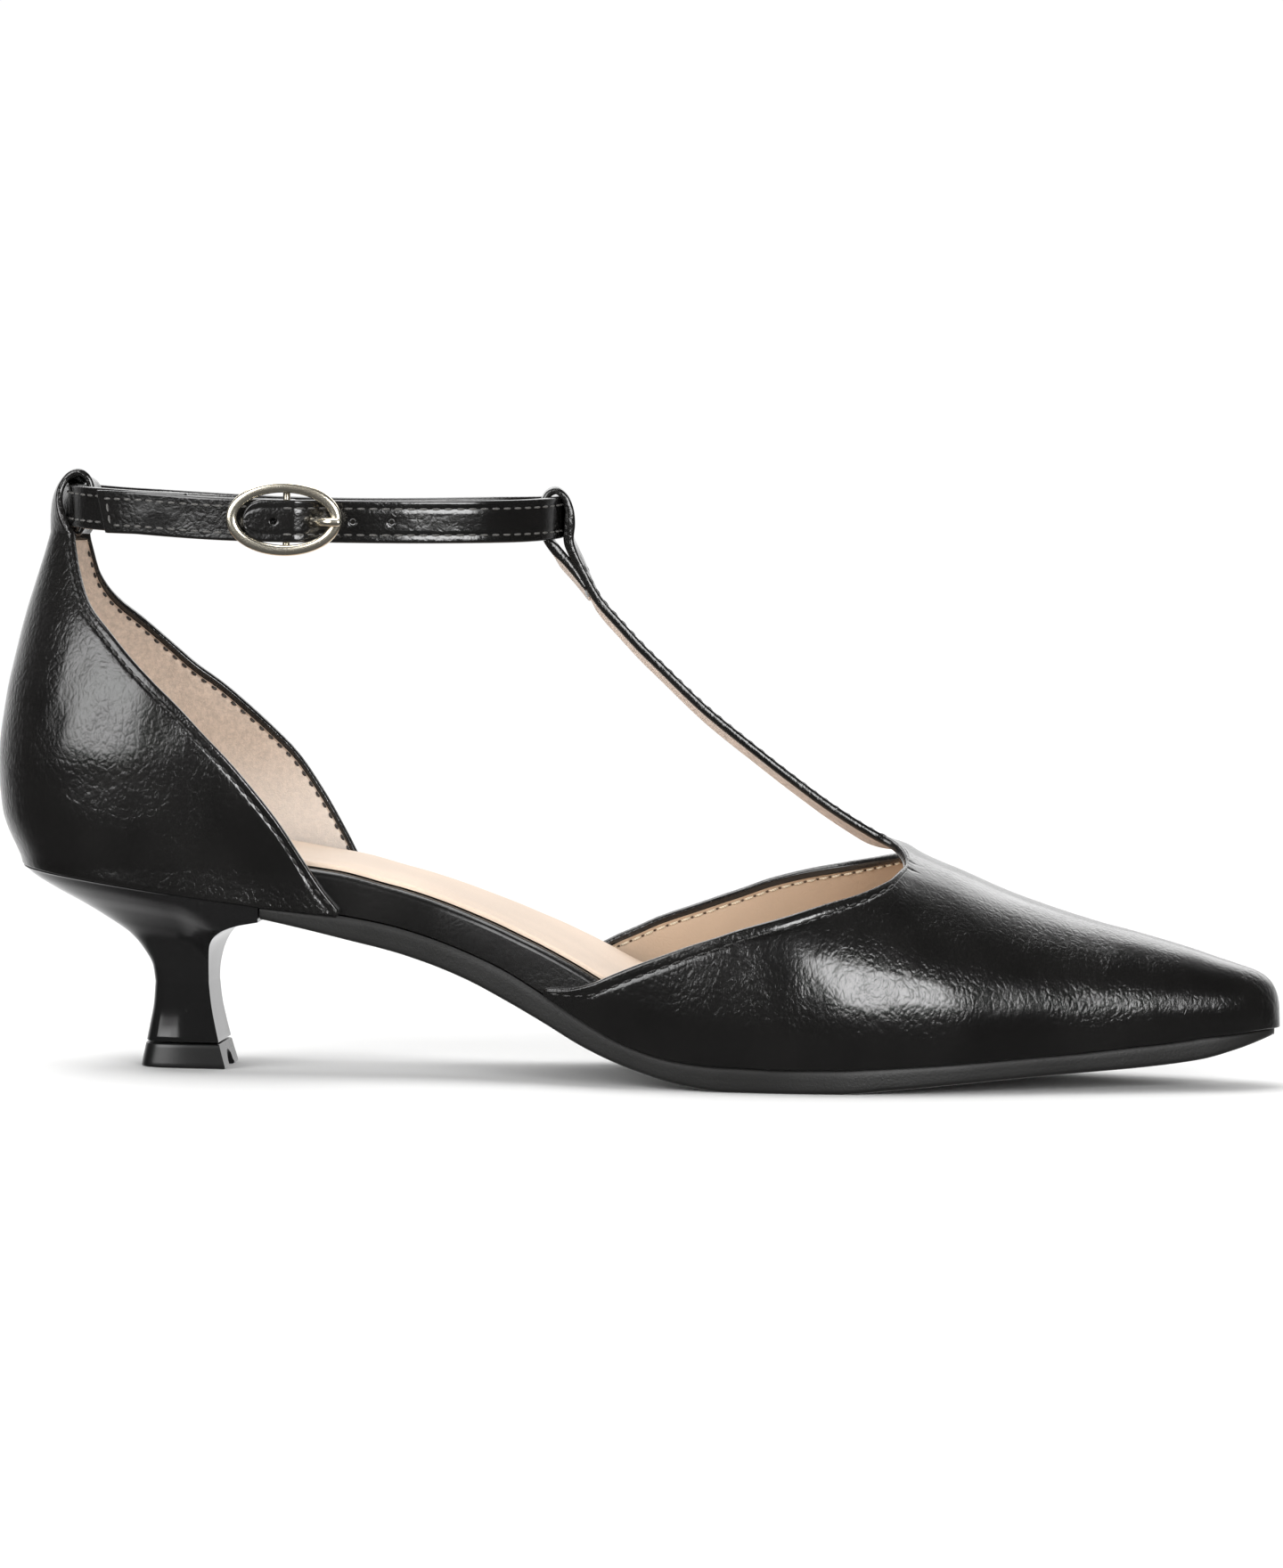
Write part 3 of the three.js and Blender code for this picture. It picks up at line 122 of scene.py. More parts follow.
def underside(x):
    return shoe["seatHeight"] * liftShare(x / shoe["length"]) + shoe["toeSpring"] * springShare(x / shoe["length"])


def seam(x):
    return underside(x) + shoe["soleThickness"] * soleShare(x / shoe["length"])


def upperFoot(x):
    return seam(x) + shoe["gap"] / 2


def boardTop(x):
    return seam(x) + shoe["boardThickness"] * boardShare(x / shoe["length"])


def outlineBack(grow):
    return shoe["seatBack"] + upperStep - grow


def outlineToe(grow):
    return shoe["length"] - upperStep + grow


def backRounding(t):
    return np.where(t >= 1, 1, (1 - np.clip(1 - np.clip(t, 0, 1), 0, 1) ** 2.2) ** (1 / 2.2))


def toeRounding(t):
    return np.sqrt(np.clip(1 - np.clip(t, 0, 1) ** 3, 0, 1))


def toeDrop(t):
    return np.cbrt(np.clip(1 - np.clip(t, 0, 1) ** 6, 0, 1))


def toeShare(x, grow):
    return (x - outlineToe(grow) + shoe["toeRound"]) / shoe["toeRound"]


def outline(x, side, grow):
    x = np.asarray(x, float)
    outer = outerShare(x / shoe["length"])
    inner = innerShare(x / shoe["length"])
    middle = shoe["ballWidth"] * (inner - outer) / 2
    half = shoe["ballWidth"] * (inner + outer) / 2 + grow
    back = backRounding((x - outlineBack(grow)) / (shoe["heelEndRound"] + grow))
    return middle + side * half * back * toeRounding(toeShare(x, grow))


def points(x, y, z):
    return np.stack(np.broadcast_arrays(np.asarray(x, float), y, z), -1)


# Meshes
def newObject(name, verts, faces, materials, slots=None, smoothShade=True, angle=None):
    mesh = bpy.data.meshes.new(name)
    place = (np.asarray(verts, float) - [originX, 0, 0]) / 1000
    mesh.from_pydata(place.tolist(), [], [list(map(int, f)) for f in faces])
    for material in materials:
        mesh.materials.append(material)
    if slots is not None:
        mesh.polygons.foreach_set("material_index", np.asarray(slots, np.int32))
    mesh.polygons.foreach_set("use_smooth", [smoothShade] * len(mesh.polygons))
    mesh.validate()
    mesh.update()
    piece = bpy.data.objects.new(name, mesh)
    scene.collection.objects.link(piece)
    if angle:
        bpy.context.view_layer.objects.active = piece
        piece.select_set(True)
        bpy.ops.object.shade_smooth_by_angle(angle=math.radians(angle), keep_sharp_edges=True)
        piece.select_set(False)
    return piece


def gridQuads(rows, columns, start=0, flip=False):
    k = np.arange(rows * columns).reshape(rows, columns) + start
    quads = np.stack([k[:-1, :-1], k[1:, :-1], k[1:, 1:], k[:-1, 1:]], -1).reshape(-1, 4)
    return quads[:, ::-1] if flip else quads


def vertexNormals(verts, quads):
    normals = np.zeros_like(verts)
    a, b, c, d = (verts[quads[:, k]] for k in range(4))
    flat = np.cross(c - a, d - b)
    for k in range(4):
        np.add.at(normals, quads[:, k], flat)
    length = np.linalg.norm(normals, axis=1, keepdims=True)
    return normals / np.where(length < 1e-12, 1, length)


class Sheet:      # leather cut from one surface, made thick, with rounded rims on its free edges
    def __init__(self):
        self.verts, self.quads, self.walls, self.bands, self.faced = [], [], [], [], []
        self.count = 0

    def add(self, grid, wall, band=None, flip=False, faced=False):
        rows, columns = grid.shape[:2]
        self.verts.append(grid.reshape(-1, 3))
        self.walls.append(np.broadcast_to(wall, (rows, columns)).reshape(-1))
        self.quads.append(gridQuads(rows, columns, self.count, flip))
        inBand = np.broadcast_to(0 if band is None else np.asarray(band, int), (rows, columns))
        self.bands.append((inBand[:-1, :-1] & inBand[1:, 1:]).reshape(-1))
        self.faced.append(np.broadcast_to(faced, (rows, columns))[:-1, :-1].reshape(-1))
        self.count += rows * columns

    def weld(self):
        verts = np.concatenate(self.verts)
        key = np.round(verts * 2000).astype(np.int64)
        _, first, inverse = np.unique(key, axis=0, return_index=True, return_inverse=True)
        self.points = verts[first]
        self.wall = np.concatenate(self.walls)[first]
        self.faces = inverse.reshape(-1)[np.concatenate(self.quads)]
        self.band = np.concatenate(self.bands)
        self.face = np.concatenate(self.faced)

    def punch(self, centre, normal, radius):
        offset = self.points - centre
        away = offset - np.outer(offset @ normal, normal)
        distance = np.where(np.abs(offset @ normal) < 2.2, np.linalg.norm(away, axis=1), 1e9)
        middle = distance[self.faces].mean(1)
        gone = middle < radius
        edge = np.intersect1d(self.faces[gone].ravel(), self.faces[~gone].ravel())
        self.points[edge] += away[edge] * (radius / distance[edge] - 1)[:, None]
        self.faces, self.band, self.face = self.faces[~gone], self.band[~gone], self.face[~gone]

    def build(self, name, materials, rimBulge, rimSteps=5, relief=None, paintedLightRim=None):
        faces = self.faces
        normals = vertexNormals(self.points, faces)
        outer = self.points + (relief(self.points, normals)[:, None] * normals if relief else 0)
        inner = self.points - normals * self.wall[:, None]
        count = len(outer)
        edges = np.concatenate([faces[:, [k, (k + 1) % 4]] for k in range(4)])
        edges = edges[edges[:, 0] != edges[:, 1]]
        key = np.minimum(edges[:, 0], edges[:, 1]) * count + np.maximum(edges[:, 0], edges[:, 1])
        _, where, seen = np.unique(key, return_index=True, return_counts=True)
        free = edges[where[seen == 1]]
        rimNodes = np.unique(free)
        along = np.zeros((count, 3))
        run = outer[free[:, 1]] - outer[free[:, 0]]
        np.add.at(along, free[:, 0], run)
        np.add.at(along, free[:, 1], run)
        outward = np.cross(along, normals)
        size = np.linalg.norm(outward, axis=1, keepdims=True)
        outward /= np.where(size < 1e-9, 1, size)
        index = np.full(count, -1)
        index[rimNodes] = np.arange(len(rimNodes))
        middle = (outer + inner)[rimNodes] / 2
        half = (outer - inner)[rimNodes] / 2
        rims = []
        for k in range(1, rimSteps + 1):
            turn = math.pi * k / (rimSteps + 1)
            rims.append(middle + half * math.cos(turn) + outward[rimNodes] * rimBulge * math.sin(turn))
        verts = np.concatenate([outer, inner, *rims])
        allFaces = [faces, faces[:, ::-1] + count]
        # slot 2 is the third material: on the vamp it is a paler lining, painted light
        slots = [np.where(self.face, 2, 0), np.choose(self.band.astype(int), (1, 0, 2))]
        if len(materials) < 2:
            slots[1][:] = 0
        ladder = [free]
        for k in range(rimSteps):
            ladder.append(index[free] + 2 * count + k * len(rimNodes))
        ladder.append(free + count)
        # rim faces picked here take slot 2, the paler lining painted as light
        pale = paintedLightRim(outer[free].mean(1)) if paintedLightRim else np.zeros(len(free), bool)
        for k, (low, high) in enumerate(zip(ladder[:-1], ladder[1:])):
            allFaces.append(np.stack([low[:, 1], low[:, 0], high[:, 0], high[:, 1]], -1))
            slots.append(np.where(pale & (k > 0), 2, 0))
        quads = np.concatenate(allFaces)
        slots = np.concatenate(slots)
        clean, kept = [], []
        for quad, slot in zip(quads.tolist(), slots.tolist()):
            face = [v for k, v in enumerate(quad) if v != quad[k - 1]]
            if len(set(face)) == len(face) and len(face) > 2:
                clean.append(face)
                kept.append(slot)
        self.outer, self.normals, self.inner = outer, normals, inner
        return newObject(name, verts, clean, materials, kept)


# Materials
class Wire:      # a socket that Python's operators work on
    def __init__(self, paint, socket):
        self.paint, self.socket = paint, socket

    def maths(self, operation, a, b=None):
        values = {0: a} if b is None else {0: a, 1: b}
        return self.paint.put("ShaderNodeMath", {"operation": operation}, values)

    def __add__(self, other): return self.maths("ADD", self, other)
    def __radd__(self, other): return self.maths("ADD", other, self)
    def __sub__(self, other): return self.maths("SUBTRACT", self, other)
    def __rsub__(self, other): return self.maths("SUBTRACT", other, self)
    def __mul__(self, other): return self.maths("MULTIPLY", self, other)
    def __rmul__(self, other): return self.maths("MULTIPLY", other, self)
    def __truediv__(self, other): return self.maths("DIVIDE", self, other)
    def __pow__(self, other): return self.maths("POWER", self, other)
    def __abs__(self): return self.maths("ABSOLUTE", self)


class Paint:      # one material and its nodes
    def __init__(self, name):
        self.material = bpy.data.materials.new(name)
        self.material.use_nodes = True
        self.tree = self.material.node_tree
        self.tree.nodes.clear()

    def put(self, kind, settings=None, inputs=None, out=0):
        node = self.tree.nodes.new(kind)
        for name, value in (settings or {}).items():
            if name == "stops":
                ramp = node.color_ramp
                while len(ramp.elements) < len(value):
                    ramp.elements.new(0.5)
                for element, (place, shade) in zip(ramp.elements, value):
                    element.position = place
                    element.color = (shade, shade, shade, 1) if isinstance(shade, (int, float)) else (*shade, 1)
            else:
                setattr(node, name, value)
        for name, value in (inputs or {}).items():
            if isinstance(value, Wire):
                self.tree.links.new(value.socket, node.inputs[name])
            elif isinstance(value, tuple) and len(value) == 3 and node.inputs[name].type == "RGBA":
                node.inputs[name].default_value = (*value, 1)
            else:
                node.inputs[name].default_value = value
        return Wire(self, node.outputs[out]) if node.outputs else None

    def place(self, stretch=(1, 1, 1), warp=0.0, warpScale=150):
        spot = self.put("ShaderNodeTexCoord", out="Object")
        spot = self.put("ShaderNodeMapping", None, {"Vector": spot, "Scale": stretch})
        if warp:
            cloud = self.put("ShaderNodeTexNoise", None, {"Vector": spot, "Scale": warpScale, "Detail": 2.0}, "Color")
            drift = self.put("ShaderNodeVectorMath", {"operation": "SUBTRACT"}, {0: cloud, 1: (0.5, 0.5, 0.5)})
            drift = self.put("ShaderNodeVectorMath", {"operation": "SCALE"}, {0: drift, "Scale": warp})
            spot = self.put("ShaderNodeVectorMath", {"operation": "ADD"}, {0: spot, 1: drift})
        return spot

    def noise(self, spot, scale, detail=2.0, rough=0.5):
        return self.put("ShaderNodeTexNoise", None, {"Vector": spot, "Scale": scale, "Detail": detail, "Roughness": rough})

    def cells(self, spot, scale, feature="DISTANCE_TO_EDGE"):
        return self.put("ShaderNodeTexVoronoi", {"feature": feature}, {"Vector": spot, "Scale": scale}, "Distance")

    def ramp(self, value, low, high, lowOut=0.0, highOut=1.0):
        return self.put("ShaderNodeMapRange", {"interpolation_type": "SMOOTHSTEP"},
                        {"Value": value, 1: low, 2: high, 3: lowOut, 4: highOut})

    def blend(self, share, a, b):
        return self.put("ShaderNodeMix", {"data_type": "RGBA"}, {0: share, 6: a, 7: b}, 2)

    def bump(self, height, depth, strength=1.0, under=None):
        inputs = {"Height": height, "Strength": strength, "Distance": depth}
        if under:
            inputs["Normal"] = under
        return self.put("ShaderNodeBump", None, inputs)

    def finish(self, **inputs):
        names = {key.replace("_", " "): value for key, value in inputs.items()}
        shader = self.put("ShaderNodeBsdfPrincipled", None, names)
        self.put("ShaderNodeOutputMaterial", None, {"Surface": shader})
        return self.material


leatherLooks = {"black": (0.0050, 0.0048, 0.0046), "worn": (0.0090, 0.0086, 0.0082), "foldDepth": 0.000085,
                "rollDepth": 0.00018}


def crinkledLeather(name, stretch=(1, 1, 1), crinkle=1.0, rough=0.15):
    paint = Paint(name)
    spot = paint.place(stretch, 0.0024, 190)
    wide = paint.noise(spot, 45, 2)
    pads = paint.ramp(paint.cells(spot, 700), 0.0, 0.30)      # small plump pads between fine folds of the finish
    folds = 1 - abs(paint.noise(spot, 520, 4, 0.6) * 2 - 1) * 3.0
    finer = 1 - abs(paint.noise(spot, 1250, 3, 0.55) * 2 - 1) * 2.6
    patch = paint.ramp(wide, 0.34, 0.62, 0.35, 1.0)
    height = (pads * 0.50 + folds * 0.34 + finer * 0.24) * patch
    normal = paint.bump(paint.noise(spot, 120, 2, 0.5), leatherLooks["rollDepth"] * crinkle)
    normal = paint.bump(height, leatherLooks["foldDepth"] * crinkle, 1.0, normal)
    colour = paint.blend(paint.ramp(wide, 0.3, 0.75), leatherLooks["black"], leatherLooks["worn"])
    return paint.finish(Base_Color=colour, Roughness=rough + wide * 0.08, Normal=normal,
                        Coat_Weight=0.45, Coat_Roughness=0.13, Specular_IOR_Level=0.5)


def smoothLeather(name, colour, rough, scale=900, depth=0.00003):
    paint = Paint(name)
    spot = paint.place((1, 1, 1), 0.002, 200)
    cell = paint.ramp(paint.cells(spot, scale), 0.0, 0.25)
    wide = paint.noise(spot, 40, 2)
    normal = paint.bump(cell * 0.6 + paint.noise(spot, scale * 2.5, 3) * 0.4, depth)
    pale = tuple(min(1, c * 1.05) for c in colour)
    deep = tuple(c * 0.93 for c in colour)
    return paint.finish(Base_Color=paint.blend(paint.ramp(wide, 0.3, 0.7), deep, pale),
                        Roughness=rough + wide * 0.08, Normal=normal)


def microfibre(name, colour, low=0.0, high=0.0):      # paler below the height low, plain above high: painted light on the lower lining
    paint = Paint(name)
    spot = paint.place((1, 1, 1), 0.001, 500)
    fine = paint.noise(spot, 2600, 4, 0.75)
    mottle = paint.noise(spot, 900, 3, 0.7)
    normal = paint.bump(fine * 0.7 + mottle * 0.3, 0.00018)
    deep = tuple(c * 0.80 for c in colour)
    pale = tuple(min(1, c * 1.12) for c in colour)
    tone = paint.blend(paint.ramp(mottle * 0.6 + fine * 0.4, 0.34, 0.66), deep, pale)
    # painted light: below the height low the lining is blended towards a pale colour
    if high:
        up = paint.put("ShaderNodeSeparateXYZ", None, {0: paint.place()}, "Z")
        tone = paint.blend(paint.ramp(up, low, high, 0.55, 0.0), tone, (0.97, 0.90, 0.83))
    return paint.finish(Base_Color=tone,
                        Roughness=0.75 + fine * 0.2, Normal=normal, Sheen_Weight=0.15, Sheen_Roughness=0.5)


def soleRubber(name):
    paint = Paint(name)
    spot = paint.place()
    fine = paint.noise(spot, 1800, 3, 0.6)
    wide = paint.noise(spot, 60, 2)
    normal = paint.bump(fine, 0.00006)
    return paint.finish(Base_Color=paint.blend(wide, (0.011, 0.011, 0.0105), (0.019, 0.0185, 0.018)), Specular_IOR_Level=0.35,
                        Roughness=0.36 + wide * 0.14, Normal=normal)


def heelPlastic(name, rough):
    paint = Paint(name)
    spot = paint.place()
    wide = paint.noise(spot, 55, 1)
    dust = paint.ramp(paint.noise(spot, 900, 2), 0.62, 0.8)
    normal = paint.bump(wide, 0.00012)
    return paint.finish(Base_Color=paint.blend(dust, (0.009, 0.009, 0.009), (0.015, 0.015, 0.0145)),
                        Roughness=rough + dust * 0.05 + wide * 0.03, Normal=normal)


def paleGold(name):
    paint = Paint(name)
    spot = paint.place()
    wide = paint.noise(spot, 300, 2)
    scratch = paint.noise(paint.place((1, 1, 14)), 700, 2)
    normal = paint.bump(scratch, 0.000003)
    return paint.finish(Base_Color=paint.blend(wide, (0.98, 0.88, 0.70), (1.0, 0.95, 0.82)), Metallic=1.0,
                        Roughness=0.22 + scratch * 0.05, Normal=normal)


def thread(name, colour, rough):
    paint = Paint(name)
    spot = paint.place()
    twist = paint.put("ShaderNodeTexWave", {"bands_direction": "DIAGONAL"}, {"Vector": spot, "Scale": 900.0}, "Fac")
    normal = paint.bump(twist, 0.00008)
    # the colour follows the bump's twist wave and is darker in its grooves: painted shade
    deep = tuple(c * 0.7 for c in colour)
    return paint.finish(Base_Color=paint.blend(twist, deep, colour), Roughness=rough + twist * 0.1, Normal=normal)


finishes = {
    "quarter": crinkledLeather("quarterLeather", (1, 1, 0.7), 1.0, 0.165),
    "vamp": crinkledLeather("vampLeather", (1, 1, 0.7), 1.0, 0.165),
    "strap": crinkledLeather("strapLeather", (0.9, 1, 1), 0.5, 0.13),
    # the quarter lining gets painted light below 0.049 m, blended out by 0.068 m
    "quarterLining": microfibre("quarterLining", (0.63, 0.515, 0.425), 0.049, 0.068),
    "vampLining": smoothLeather("vampLining", (0.54, 0.40, 0.285), 0.55),
    # a paler lining for the T-strap's underside, its inner rim and the strap end: painted light
    "strapLiningPaintedLight": microfibre("strapLiningPaintedLight", (0.62, 0.52, 0.45)),
    "sock": smoothLeather("sockLining", (0.72, 0.575, 0.455), 0.52, 700, 0.00004),
    "board": crinkledLeather("boardWrap", (1, 1, 1), 0.3, 0.21),
    "rubber": soleRubber("soleRubber"),
    "plastic": heelPlastic("heelPlastic", 0.085),
    "tip": heelPlastic("topPieceRubber", 0.26),
    "gold": paleGold("paleGold"),
    "blackThread": thread("blackThread", (0.035, 0.034, 0.033), 0.22),
    # the strap stitches' black thread is given a grey colour: painted highlight standing in for its glints
    "strapThreadPaintedGlint": thread("strapThreadPaintedGlint", (0.12, 0.116, 0.11), 0.3),
    "beigeThread": thread("beigeThread", (0.86, 0.74, 0.56), 0.45),
    # dark brown for the dots between the vamp lining's stitches: painted shade in the needle holes
    "paintedHoleShade": thread("paintedHoleShade", (0.10, 0.065, 0.04), 0.6),
    "greyThread": thread("greyThread", (0.05, 0.046, 0.044), 0.4),
}
print("materials:", len(finishes))


def keep(piece, slot, *nodes):
    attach(piece, "root")
    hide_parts(*nodes)
    return piece


# Stitches: small rounded stretches of thread laid along a line on a surface
def stitchRow(parts, line, normals, pitch, length, radius, lift=0.0, skip=0.0, shift=0.5):
    step = np.linalg.norm(np.diff(line, axis=0), axis=1)
    run = np.concatenate([[0], np.cumsum(step)])
    count = int((run[-1] - 2 * skip) / pitch)
    for k in range(count):
        middle = skip + pitch * (k + shift)
        spots = np.array([np.interp(middle + length * t, run, line[:, a]) for t in (-0.5, 0.5) for a in range(3)])
        start, end = spots.reshape(2, 3)
        up = np.array([np.interp(middle, run, normals[:, a]) for a in range(3)])
        up /= np.linalg.norm(up)
        along = (end - start) / max(np.linalg.norm(end - start), 1e-9)
        side = np.cross(up, along)
        rows = []
        for t, width in ((0.0, 0.25), (0.12, 0.8), (0.5, 1.0), (0.88, 0.8), (1.0, 0.25)):
            at = mix(start, end, t) + up * (lift + radius * (0.75 * math.sin(math.pi * t) - 0.35))
            turns = np.arange(6) * math.pi / 3
            rows.append(at + radius * width * (np.outer(np.cos(turns), side) + np.outer(np.sin(turns), up)))
        parts.append(np.array(rows))


def stitches(name, parts, material, slot, *nodes):
    verts, faces, start = [], [], 0
    for rows in parts:
        count, around = rows.shape[:2]
        verts.append(rows.reshape(-1, 3))
        for k in range(count - 1):
            for j in range(around):
                n = (j + 1) % around
                faces.append([start + k * around + j, start + (k + 1) * around + j,
                              start + (k + 1) * around + n, start + k * around + n])
        faces.append([start + j for j in range(around)])
        faces.append([start + (count - 1) * around + j for j in reversed(range(around))])
        start += count * around
    piece = newObject(name, np.concatenate(verts), faces, [material])
    print(name, len(parts))
    return keep(piece, slot, *nodes)


def lay(line, side, away):      # passes the line and its two other arguments back unchanged
    return line, side, away


# Closed rings of points to a solid with flat ends
def loft(name, rings, materials, angle=40, endless=False, ends=True):
    rings = np.asarray(rings, float)
    count, around = rings.shape[:2]
    faces = []
    for k in range(count if endless else count - 1):
        n = (k + 1) % count
        for j in range(around):
            m = (j + 1) % around
            faces.append([k * around + j, k * around + m, n * around + m, n * around + j])
    if ends and not endless:
        faces.append([j for j in reversed(range(around))])
        faces.append([(count - 1) * around + j for j in range(around)])
    piece = newObject(name, rings.reshape(-1, 3), faces, materials, None, True, angle)
    mesh = piece.data
    volume = sum(f.area * f.normal.dot(f.center) for f in mesh.polygons)
    if volume < 0:
        mesh.flip_normals()
    return piece


# Sole
sole = {"spacing": 1.1, "feather": 0.35}


def places(start, end, spacing, backRound):
    runs = [np.linspace(start, end, int((end - start) / spacing))]
    turn = np.linspace(0, math.pi / 2, 26)
    runs.append(end - shoe["toeRound"] * (1 - np.sin(turn)))
    if backRound:
        runs.append(start + shoe["heelEndRound"] * (1 - np.cos(turn)))
    found = np.unique(np.round(np.concatenate(runs), 3))
    found = found[(found >= start) & (found <= end)]
    kept = [found[0]]
    for x in found[1:]:
        if x - kept[-1] > 0.012:
            kept.append(x)
    return np.array(kept)


def outsoleRings():
    rings = []
    for x in places(shoe["breastFromHeel"] + shoe["gap"], outlineToe(shoe["soleLip"]) - 0.05, sole["spacing"], False):
        low, high = float(underside(x)), float(seam(x)) - shoe["gap"] / 2
        edge = min(shoe["soleEdge"], (high - low) * 0.4)
        lines = []
        for t in np.linspace(0, 1, 6):
            angle = t * math.pi / 2
            lines.append((edge * (1 - math.sin(angle)), low + edge * (1 - math.cos(angle))))
        tall = high - low
        lines += [(0.0, low + edge + (tall - edge) * s) for s in (0.25, 0.5, 0.72)]
        lines += [(0.12, high - tall * 0.10), (sole["feather"], high)]
        left = [(x, float(outline(x, -1, shoe["soleLip"] - inset)), z) for inset, z in lines]
        right = [(x, float(outline(x, 1, shoe["soleLip"] - inset)), z) for inset, z in lines]
        across = [0.8, 0.6, 0.4, 0.2]
        mid = (left[0][1] + right[0][1]) / 2
        under = [(x, mix(right[0][1], left[0][1], s), low) for s in (0.12, 0.3, 0.5, 0.7, 0.88)]
        over = [(x, mix(left[-1][1], right[-1][1], s), high) for s in (0.12, 0.3, 0.5, 0.7, 0.88)]
        rings.append(left + over + right[::-1] + under)
    return rings


keep(loft("outsoleUnit", outsoleRings(), [finishes["rubber"]], 50), "sole_rubber", "outsole")


def slabRings(start, end, grow, low, high, radius, spacing, steps, swell=None):
    rings = []
    for x in places(start, end, spacing, True):
        bottom, top = float(low(x)), float(high(x))
        outer, inner = float(outline(x, -1, grow)), float(outline(x, 1, grow))
        corner = min(radius, (inner - outer) * 0.45, (top - bottom) * 0.45)
        ring = [(x, outer, bottom)]
        for k in range(steps + 1):
            angle = k * math.pi / (2 * steps)
            ring.append((x, outer + corner * (1 - math.cos(angle)), top - corner * (1 - math.sin(angle))))
        for s in np.linspace(0, 1, 30)[1:-1]:
            y = mix(outer + corner, inner - corner, s)
            lift = 0 if swell is None else swell(x, y, outer, inner)
            ring.append((x, y, top + lift))
        for k in range(steps, -1, -1):
            angle = k * math.pi / (2 * steps)
            ring.append((x, inner - corner * (1 - math.cos(angle)), top - corner * (1 - math.sin(angle))))
        ring.append((x, inner, bottom))
        rings.append(ring)
    return rings


board = {"spacing": 1.1, "stitchInset": 0.75, "stitchPitch": 2.1}
keep(loft("boardWrapped", slabRings(outlineBack(0) + 0.1, outlineToe(0) - 0.1, 0, upperFoot, boardTop,
                                    shoe["boardEdge"], board["spacing"], 7), [finishes["board"]], 50),
     "board_wrap", "insole_board")

sock = {"padInset": 5.5, "padHeight": 0.35, "padEnd": 205}


def sockSwell(x, y, outer, inner):      # pad under the sock, with its raised edge line
    edge = min(y - outer, inner - y)
    pad = float(fade(edge, sock["padInset"] - 0.8, sock["padInset"] + 0.8))
    return sock["padHeight"] * pad * float(1 - fade(x, sock["padEnd"] - 12, sock["padEnd"]))


inset = shoe["sockInset"]
keep(loft("sockPadded", slabRings(outlineBack(-inset) + 0.1, outlineToe(-inset) - 0.1, -inset,
                                  lambda x: boardTop(x) + shoe["gap"],
                                  lambda x: boardTop(x) + shoe["gap"] + shoe["sockThickness"],
                                  0.45, 1.0, 4, sockSwell), [finishes["sock"]], 50),
     "sock_lining", "insole_sock")
print("sole, board and sock done")

# Heel
heel = {"turns": 44, "levels": 60, "notchWidth": 7, "notchHeight": 3.4, "notchDepth": 1.2,
        "seatLip": 0.3, "breastLip": 3.2, "edge": 0.35, "squareness": 4.6}
heelRows = [      # up, back, breast, wide
    (0.00, 0.000, 1.000, 1.00), (0.25, 0.050, 0.930, 0.94), (0.50, 0.095, 0.870, 0.88),
    (0.75, 0.135, 0.820, 0.84), (1.00, 0.150, 0.790, 0.83),
]
flareRows = [      # up, out, breast
    (0.00, 0.000, 0.000), (0.14, 0.020, 0.000), (0.28, 0.086, 0.010), (0.42, 0.190, 0.030),
    (0.56, 0.366, 0.070), (0.70, 0.570, 0.160), (0.83, 0.780, 0.340), (0.93, 0.920, 0.620), (1.00, 0.990, 1.000),
]
heelBack, heelBreast, heelWide = [column(heelRows, k) for k in (1, 2, 3)]
flareOut, flareBreast = column(flareRows, 1), column(flareRows, 2)


def heelTurns():
    return np.arange(-heel["turns"], heel["turns"] + 1)


def shankRing(z, inset):
    up = z / shoe["neckHeight"]
    back = shoe["footBack"] + shoe["footLength"] * float(heelBack(up)) + inset
    breast = shoe["footBack"] + shoe["footLength"] * float(heelBreast(up)) - inset
    half = shoe["footWidth"] / 2 * float(heelWide(up)) - inset
    k = heelTurns()
    t = 1 - np.cos(np.abs(k) / heel["turns"] * math.pi / 2)
    wide = (1 - (1 - t) ** heel["squareness"]) ** (1 / heel["squareness"])
    return points(mix(back, breast, t), np.sign(k) * half * wide, z)


def seatRing(drop=0.0, inset=0.0):
    grow = upperStep - shoe["gap"] - inset
    k = heelTurns()
    t = 1 - np.cos(np.abs(k) / heel["turns"] * math.pi / 2)
    x = mix(outlineBack(grow), shoe["breastFromHeel"] - inset, t)
    return points(x, outline(x, np.where(k == 0, 1, np.sign(k)), grow), seam(x) - shoe["gap"] / 2 - drop)


def withBreast(ring, count=14):      # adds points along the flat breast between the two corners
    last, first = ring[-1], ring[0]
    extra = [mix(last, first, s) for s in np.linspace(0, 1, count + 2)[1:-1]]
    return np.concatenate([ring, extra])


def heelRings():
    seat, neck = seatRing(), shankRing(shoe["neckHeight"], 0)
    low = shoe["topPiece"] + shoe["gap"]
    rings = [shankRing(low, heel["edge"]), shankRing(low + 0.12, 0.1), shankRing(low + 0.35, 0)]
    for z in np.linspace(low + 0.35, shoe["neckHeight"], 16)[1:]:
        rings.append(shankRing(z, 0))
    front = np.abs(heelTurns()) / heel["turns"]
    lip = mix(heel["seatLip"], heel["breastLip"], fade(front, 0.75, 1))
    for up in np.linspace(0, 1, heel["levels"])[1:]:
        out, breast = float(flareOut(up)), float(flareBreast(up))
        rings.append(points(
            mix(neck[:, 0], seat[:, 0], mix(out, breast, front ** 3)),
            mix(neck[:, 1], seat[:, 1], out),
            mix(neck[:, 2], seat[:, 2] - lip, up)))
    rings.append(seatRing(0.25, 0.02))
    rings.append(seatRing(0.0, 0.3))
    return [withBreast(ring) for ring in rings]


keep(loft("heelBlock", heelRings(), [finishes["plastic"]], 38), "heel_plastic", "heel")


